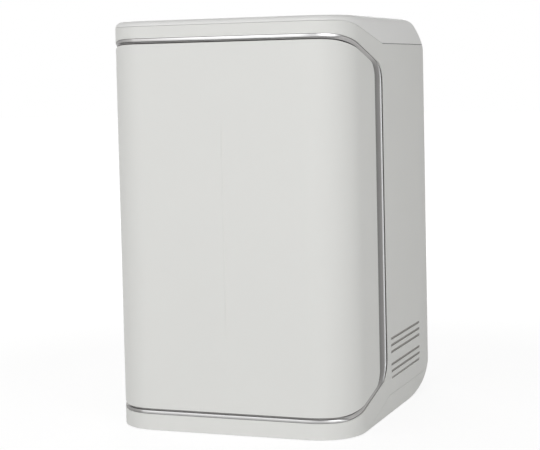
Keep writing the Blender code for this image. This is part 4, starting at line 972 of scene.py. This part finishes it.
def trim_widths(pair, side):
    """Groove, bead width, how far this place is front and upright, and its painted reflection."""
    kind, at, height = pair[0]
    depth = wrap_depth(kind, at)
    front = 1 - eased(depth, *FRONT_ENDS)
    upright = eased(depth, *UPRIGHT_STARTS)
    groove = FRONT_GROOVE + (SIDE_GROOVE - FRONT_GROOVE) * upright
    bead = SLANT_BEAD + (FRONT_BEAD - SLANT_BEAD) * front + (SIDE_BEAD - SLANT_BEAD) * upright
    from_left = max(0.0, -side * at / FLAT_HALF) if kind == "flat" else float(side < 0)
    # Painted dark reflection on the front stretches, then on the corners and sides.
    low = TOP_REFLECTION + TOP_LEFT_REFLECTION * from_left if height > HEIGHT / 2 else BOTTOM_REFLECTION
    shade = 1 - front if side > 0 else eased(depth, *LEFT_SHADE)
    return groove, bead, front, upright, max(low * front, shade * (1 - UPRIGHT_LIGHT * upright))


print("bead: %.1f mm wide on the front, %.1f mm at the side" % (FRONT_BEAD / MM, SIDE_BEAD / MM))

# %% [markdown]
# ## Bead and channel
#
# Both sections are rows of an offset in from the trim's outline and an inset behind the
# surface. The bead's is a low crown with its feet sunk in the channel. The channel's runs
# down its lining, over the floor under the bead, up to a ledge beside it, and slopes down
# to the door. The ledge and the slope follow where on the ring the place is.
# %% Channel and bead
TRIM_BACK = 5.4 * MM
DOOR_CLEARANCE = 0.7 * MM
# Each pair is a share of the bead's width and an inset in millimetres.
BEAD_SECTION = ((0.0, 1.15), (0.10, 0.72), (0.30, 0.62), (0.60, 0.66), (0.88, 0.90), (1.0, 1.5))
UNDER_BEAD_SHARE = 0.8
CHANNEL_FLOOR = 4.3 * MM
LINING, LINING_SHARE, LINING_RISE = 0.8 * MM, 0.1, 3.7 * MM
LINING_FOOT = 0.1 * MM
# LEDGE and SLOPE are insets, DARK is how wide the painted shade by the door is, and LIP
# is the last step down to the door. FRONT, SLANT, AWAY and UPRIGHT say how much each
# changes on the front, where the ring slants, off the front, and down the sides.
LEDGE, LEDGE_FRONT, LEDGE_SLANT = 2.3 * MM, 1.6 * MM, 1.1 * MM
SLOPE, SLOPE_FRONT, SLOPE_SLANT = 3.8 * MM, 1.2 * MM, 2.2 * MM
DARK, DARK_AWAY, DARK_UPRIGHT = 1.0 * MM, 0.3 * MM, 11 * MM
LIP, LIP_FRONT, LIP_WIDTH = 4.4 * MM, 1.6 * MM, 0.9 * MM
# Painted light on the channel: how much of the paler colour the floor under the bead and the slope
# get, and how much the ledge and the slope lose down the sides.
FLOOR_PAINTED_LIGHT, LEDGE_DIM = 0.6, 0.5
SLOPE_PAINTED_LIGHT, SLOPE_DIM = 0.8, 0.6


def bead_rows(groove, bead, shade):
    section = [(groove, TRIM_BACK)]
    section += [(groove + bead * share, inset * MM) for share, inset in BEAD_SECTION]
    section += [(groove + bead, TRIM_BACK)]
    return [(offset, inset, shade) for offset, inset in section]


def channel_rows(width, groove, bead, front, upright):
    slant = (1 - front) * (1 - upright)
    under = groove + bead * UNDER_BEAD_SHARE
    top = CHANNEL_FLOOR - LINING_RISE * upright
    lined = FRONT_GROOVE + (LINING_SHARE + (1 - LINING_SHARE) * upright) * LINING
    ledge = LEDGE + LEDGE_FRONT * front - LEDGE_SLANT * slant
    slope = SLOPE - SLOPE_FRONT * front - SLOPE_SLANT * slant
    dark = DARK + DARK_AWAY * (1 - front) + DARK_UPRIGHT * upright
    # The last number of each row is its share of painted light; where it is 0 by the door, the
    # dark stretch is painted shade.
    return [(FRONT_GROOVE, TRIM_BACK, 0), (FRONT_GROOVE, top, 0), (lined, top, 0),
            (lined + LINING_FOOT, CHANNEL_FLOOR, 0), (under, CHANNEL_FLOOR, FLOOR_PAINTED_LIGHT * front),
            (under, ledge, (1 - front) * (1 - LEDGE_DIM * upright)),
            (width - dark, slope, SLOPE_PAINTED_LIGHT - SLOPE_DIM * upright),
            (width - LIP_WIDTH, LIP - LIP_FRONT * front, front), (width, TRIM_BACK, front)]


def trim_pieces():
    bead_places, channel_places = [], []
    for pair, side in crossing(trim_band(0), door_band(DOOR_CLEARANCE)):
        groove, bead, front, upright, shade = trim_widths(pair, side)
        rows = channel_rows(math.hypot(*gap(pair)), groove, bead, front, upright)
        channel_places.append((pair, side, rows))
        bead_places.append((pair, side, bead_rows(groove, bead, shade)))
    channel = sweep(channel_places, "trim_channel", channel_paint())
    bead = sweep(bead_places, "trim_bead", silver_plating(), smooth_angle=30)
    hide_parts("trim_ring")
    return channel, bead


print("trim pieces:", [piece.name for piece in trim_pieces()])

# %% [markdown]
# ## Hinges, latch and the bay behind the door
#
# These show when the door is open. Hinges, pins and decks are steel, the liner and the
# levers grey plastic, and the cartridges satin blue. They could be left as the plain
# solids, but even a round of a fifth of a millimetre catches the light along an edge.
# %% Dress the front bay
for label in ("lower", "upper"):
    dress("door_hinge_leaf_" + label, brushed_steel(), SHEET_EDGE)
    dress("hinge_bracket_" + label, brushed_steel(), SHEET_EDGE)
    dress("hinge_pin_" + label, brushed_steel(), PIN_EDGE)
    dress("chassis_deck_" + label, brushed_steel(), MODULE_EDGE)
for label in ("left", "right"):
    dress("cartridge_" + label, blue_moulding(), RUBBER_EDGE)
    dress("dock_" + label, white_moulding(), MODULE_EDGE)
    dress("release_lever_" + label, grey_moulding(), PANEL_EDGE)
    dress("lever_pin_" + label, brushed_steel(), PIN_EDGE)
dress("door_liner", grey_moulding(), MODULE_EDGE)
dress("bay_tray", pale_grey_moulding(), PANEL_EDGE)
dress("door_magnet", black_moulding(), RUBBER_EDGE)
dress("catch_plate", brushed_steel(), MODULE_EDGE)
print("dressed so far:", len(dressed()))

# %% [markdown]
# ## Sleeves on the cartridges
#
# Each cartridge has a pale plastic sleeve round its middle, left bare, between two
# raised hoops. A circle of vertices is extruded upwards ring by ring, and each ring is
# scaled a little, which is the quickest way to a turned shape with a small profile.
# %% Cartridge sleeves
SLEEVE_SKIN, HOOP = 0.25 * MM, 0.9 * MM
SLEEVE_SINK = 0.1 * MM
SLEEVE_SIDES = 96
SLEEVE_SHARES = (0.30, 0.66)
HOOP_SHARES = (("low", (0.28, 0.295)), ("high", (0.665, 0.68)))


def turned_sleeve(name, node, shares, paint, skin):
    low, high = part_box(node)
    centre = (low + high) / 2
    radius = (high.x - low.x) / 2
    foot = low.z + (high.z - low.z) * shares[0]
    tall = (high.z - low.z) * (shares[1] - shares[0])
    ease = min(skin, tall / 4)
    rings = [(0, skin / 2), (ease, skin), (tall - ease, skin), (tall, skin / 2),
             (tall, -SLEEVE_SINK)]
    shape = bmesh.new()
    size, height = radius - SLEEVE_SINK, 0.0
    ring = bmesh.ops.create_circle(shape, segments=SLEEVE_SIDES, radius=size)["verts"]
    bmesh.ops.translate(shape, verts=ring, vec=(centre.x, centre.y, foot))
    loop = shape.edges[:]
    for rise, grow in rings:
        grown = bmesh.ops.extrude_edge_only(shape, edges=loop)["geom"]
        verts = [item for item in grown if isinstance(item, bmesh.types.BMVert)]
        loop = [item for item in grown if isinstance(item, bmesh.types.BMEdge)
                and all(vert in verts for vert in item.verts)]
        wide = (radius + grow) / size
        bmesh.ops.translate(shape, verts=verts, vec=(0, 0, rise - height))
        bmesh.ops.scale(shape, verts=verts, vec=(wide, wide, 1),
                        space=Matrix.Translation((-centre.x, -centre.y, 0)))
        size, height = radius + grow, rise
    loose = [edge for edge in shape.edges if len(edge.link_faces) == 1]
    bmesh.ops.bridge_loops(shape, edges=loose)
    bmesh.ops.recalc_face_normals(shape, faces=shape.faces)
    return as_piece(shape, name, paint, BODY_OF[node])


turned = []
for label in ("left", "right"):
    node = "cartridge_" + label
    turned.append(turned_sleeve("sleeve_" + label, node, SLEEVE_SHARES, pale_grey_moulding(),
                                SLEEVE_SKIN))
    for place, shares in HOOP_SHARES:
        turned.append(turned_sleeve("hoop_%s_%s" % (place, label), node, shares,
                                    blue_moulding(), HOOP))
print("sleeves and hoops:", len(turned))

# %% [markdown]
# ## Modules inside and connectors at the rear
#
# The pumps, the lamp, the membrane and the boards are inside the shell, and the rear
# panel carries the inlet, the switch, the data connector and the water ports. They show
# when the unit is taken apart, so each gets its own finish. A table of nodes and finishes
# keeps this short.
# %% Dress the modules and the rear
for node, paint in (
        ("power_supply", brushed_steel()), ("booster_pump", black_moulding()),
        ("recirculation_pump", black_moulding()), ("fan_frame", grey_moulding()),
        ("fan_rotor", black_moulding()), ("ro_module", white_moulding()),
        ("ro_module_bracket", grey_moulding()), ("uv_lamp", brushed_steel()),
        ("uv_lamp_bracket", grey_moulding()), ("valve_manifold", grey_moulding()),
        ("conductivity_cell", blue_moulding()), ("edi_module", white_moulding()),
        ("control_board", green_board()), ("mains_inlet", black_moulding()),
        ("switch_housing", black_moulding()), ("data_connector", black_moulding()),
        ("power_switch", black_moulding())):
    dress(node, paint, MODULE_EDGE)
for label in ("feed", "drain", "product"):
    dress("port_" + label, white_moulding(), MODULE_EDGE)
    dress("collet_" + label, blue_moulding(), MODULE_EDGE)
for number in (1, 2, 3, 4):
    dress("rear_screw_%d" % number, brushed_steel(), SHEET_EDGE)
for name in ("permeate_tube", "product_tube", "feed_tube"):
    dress(name, hose_plastic(), 0)
print("dressed nodes:", len(dressed()))
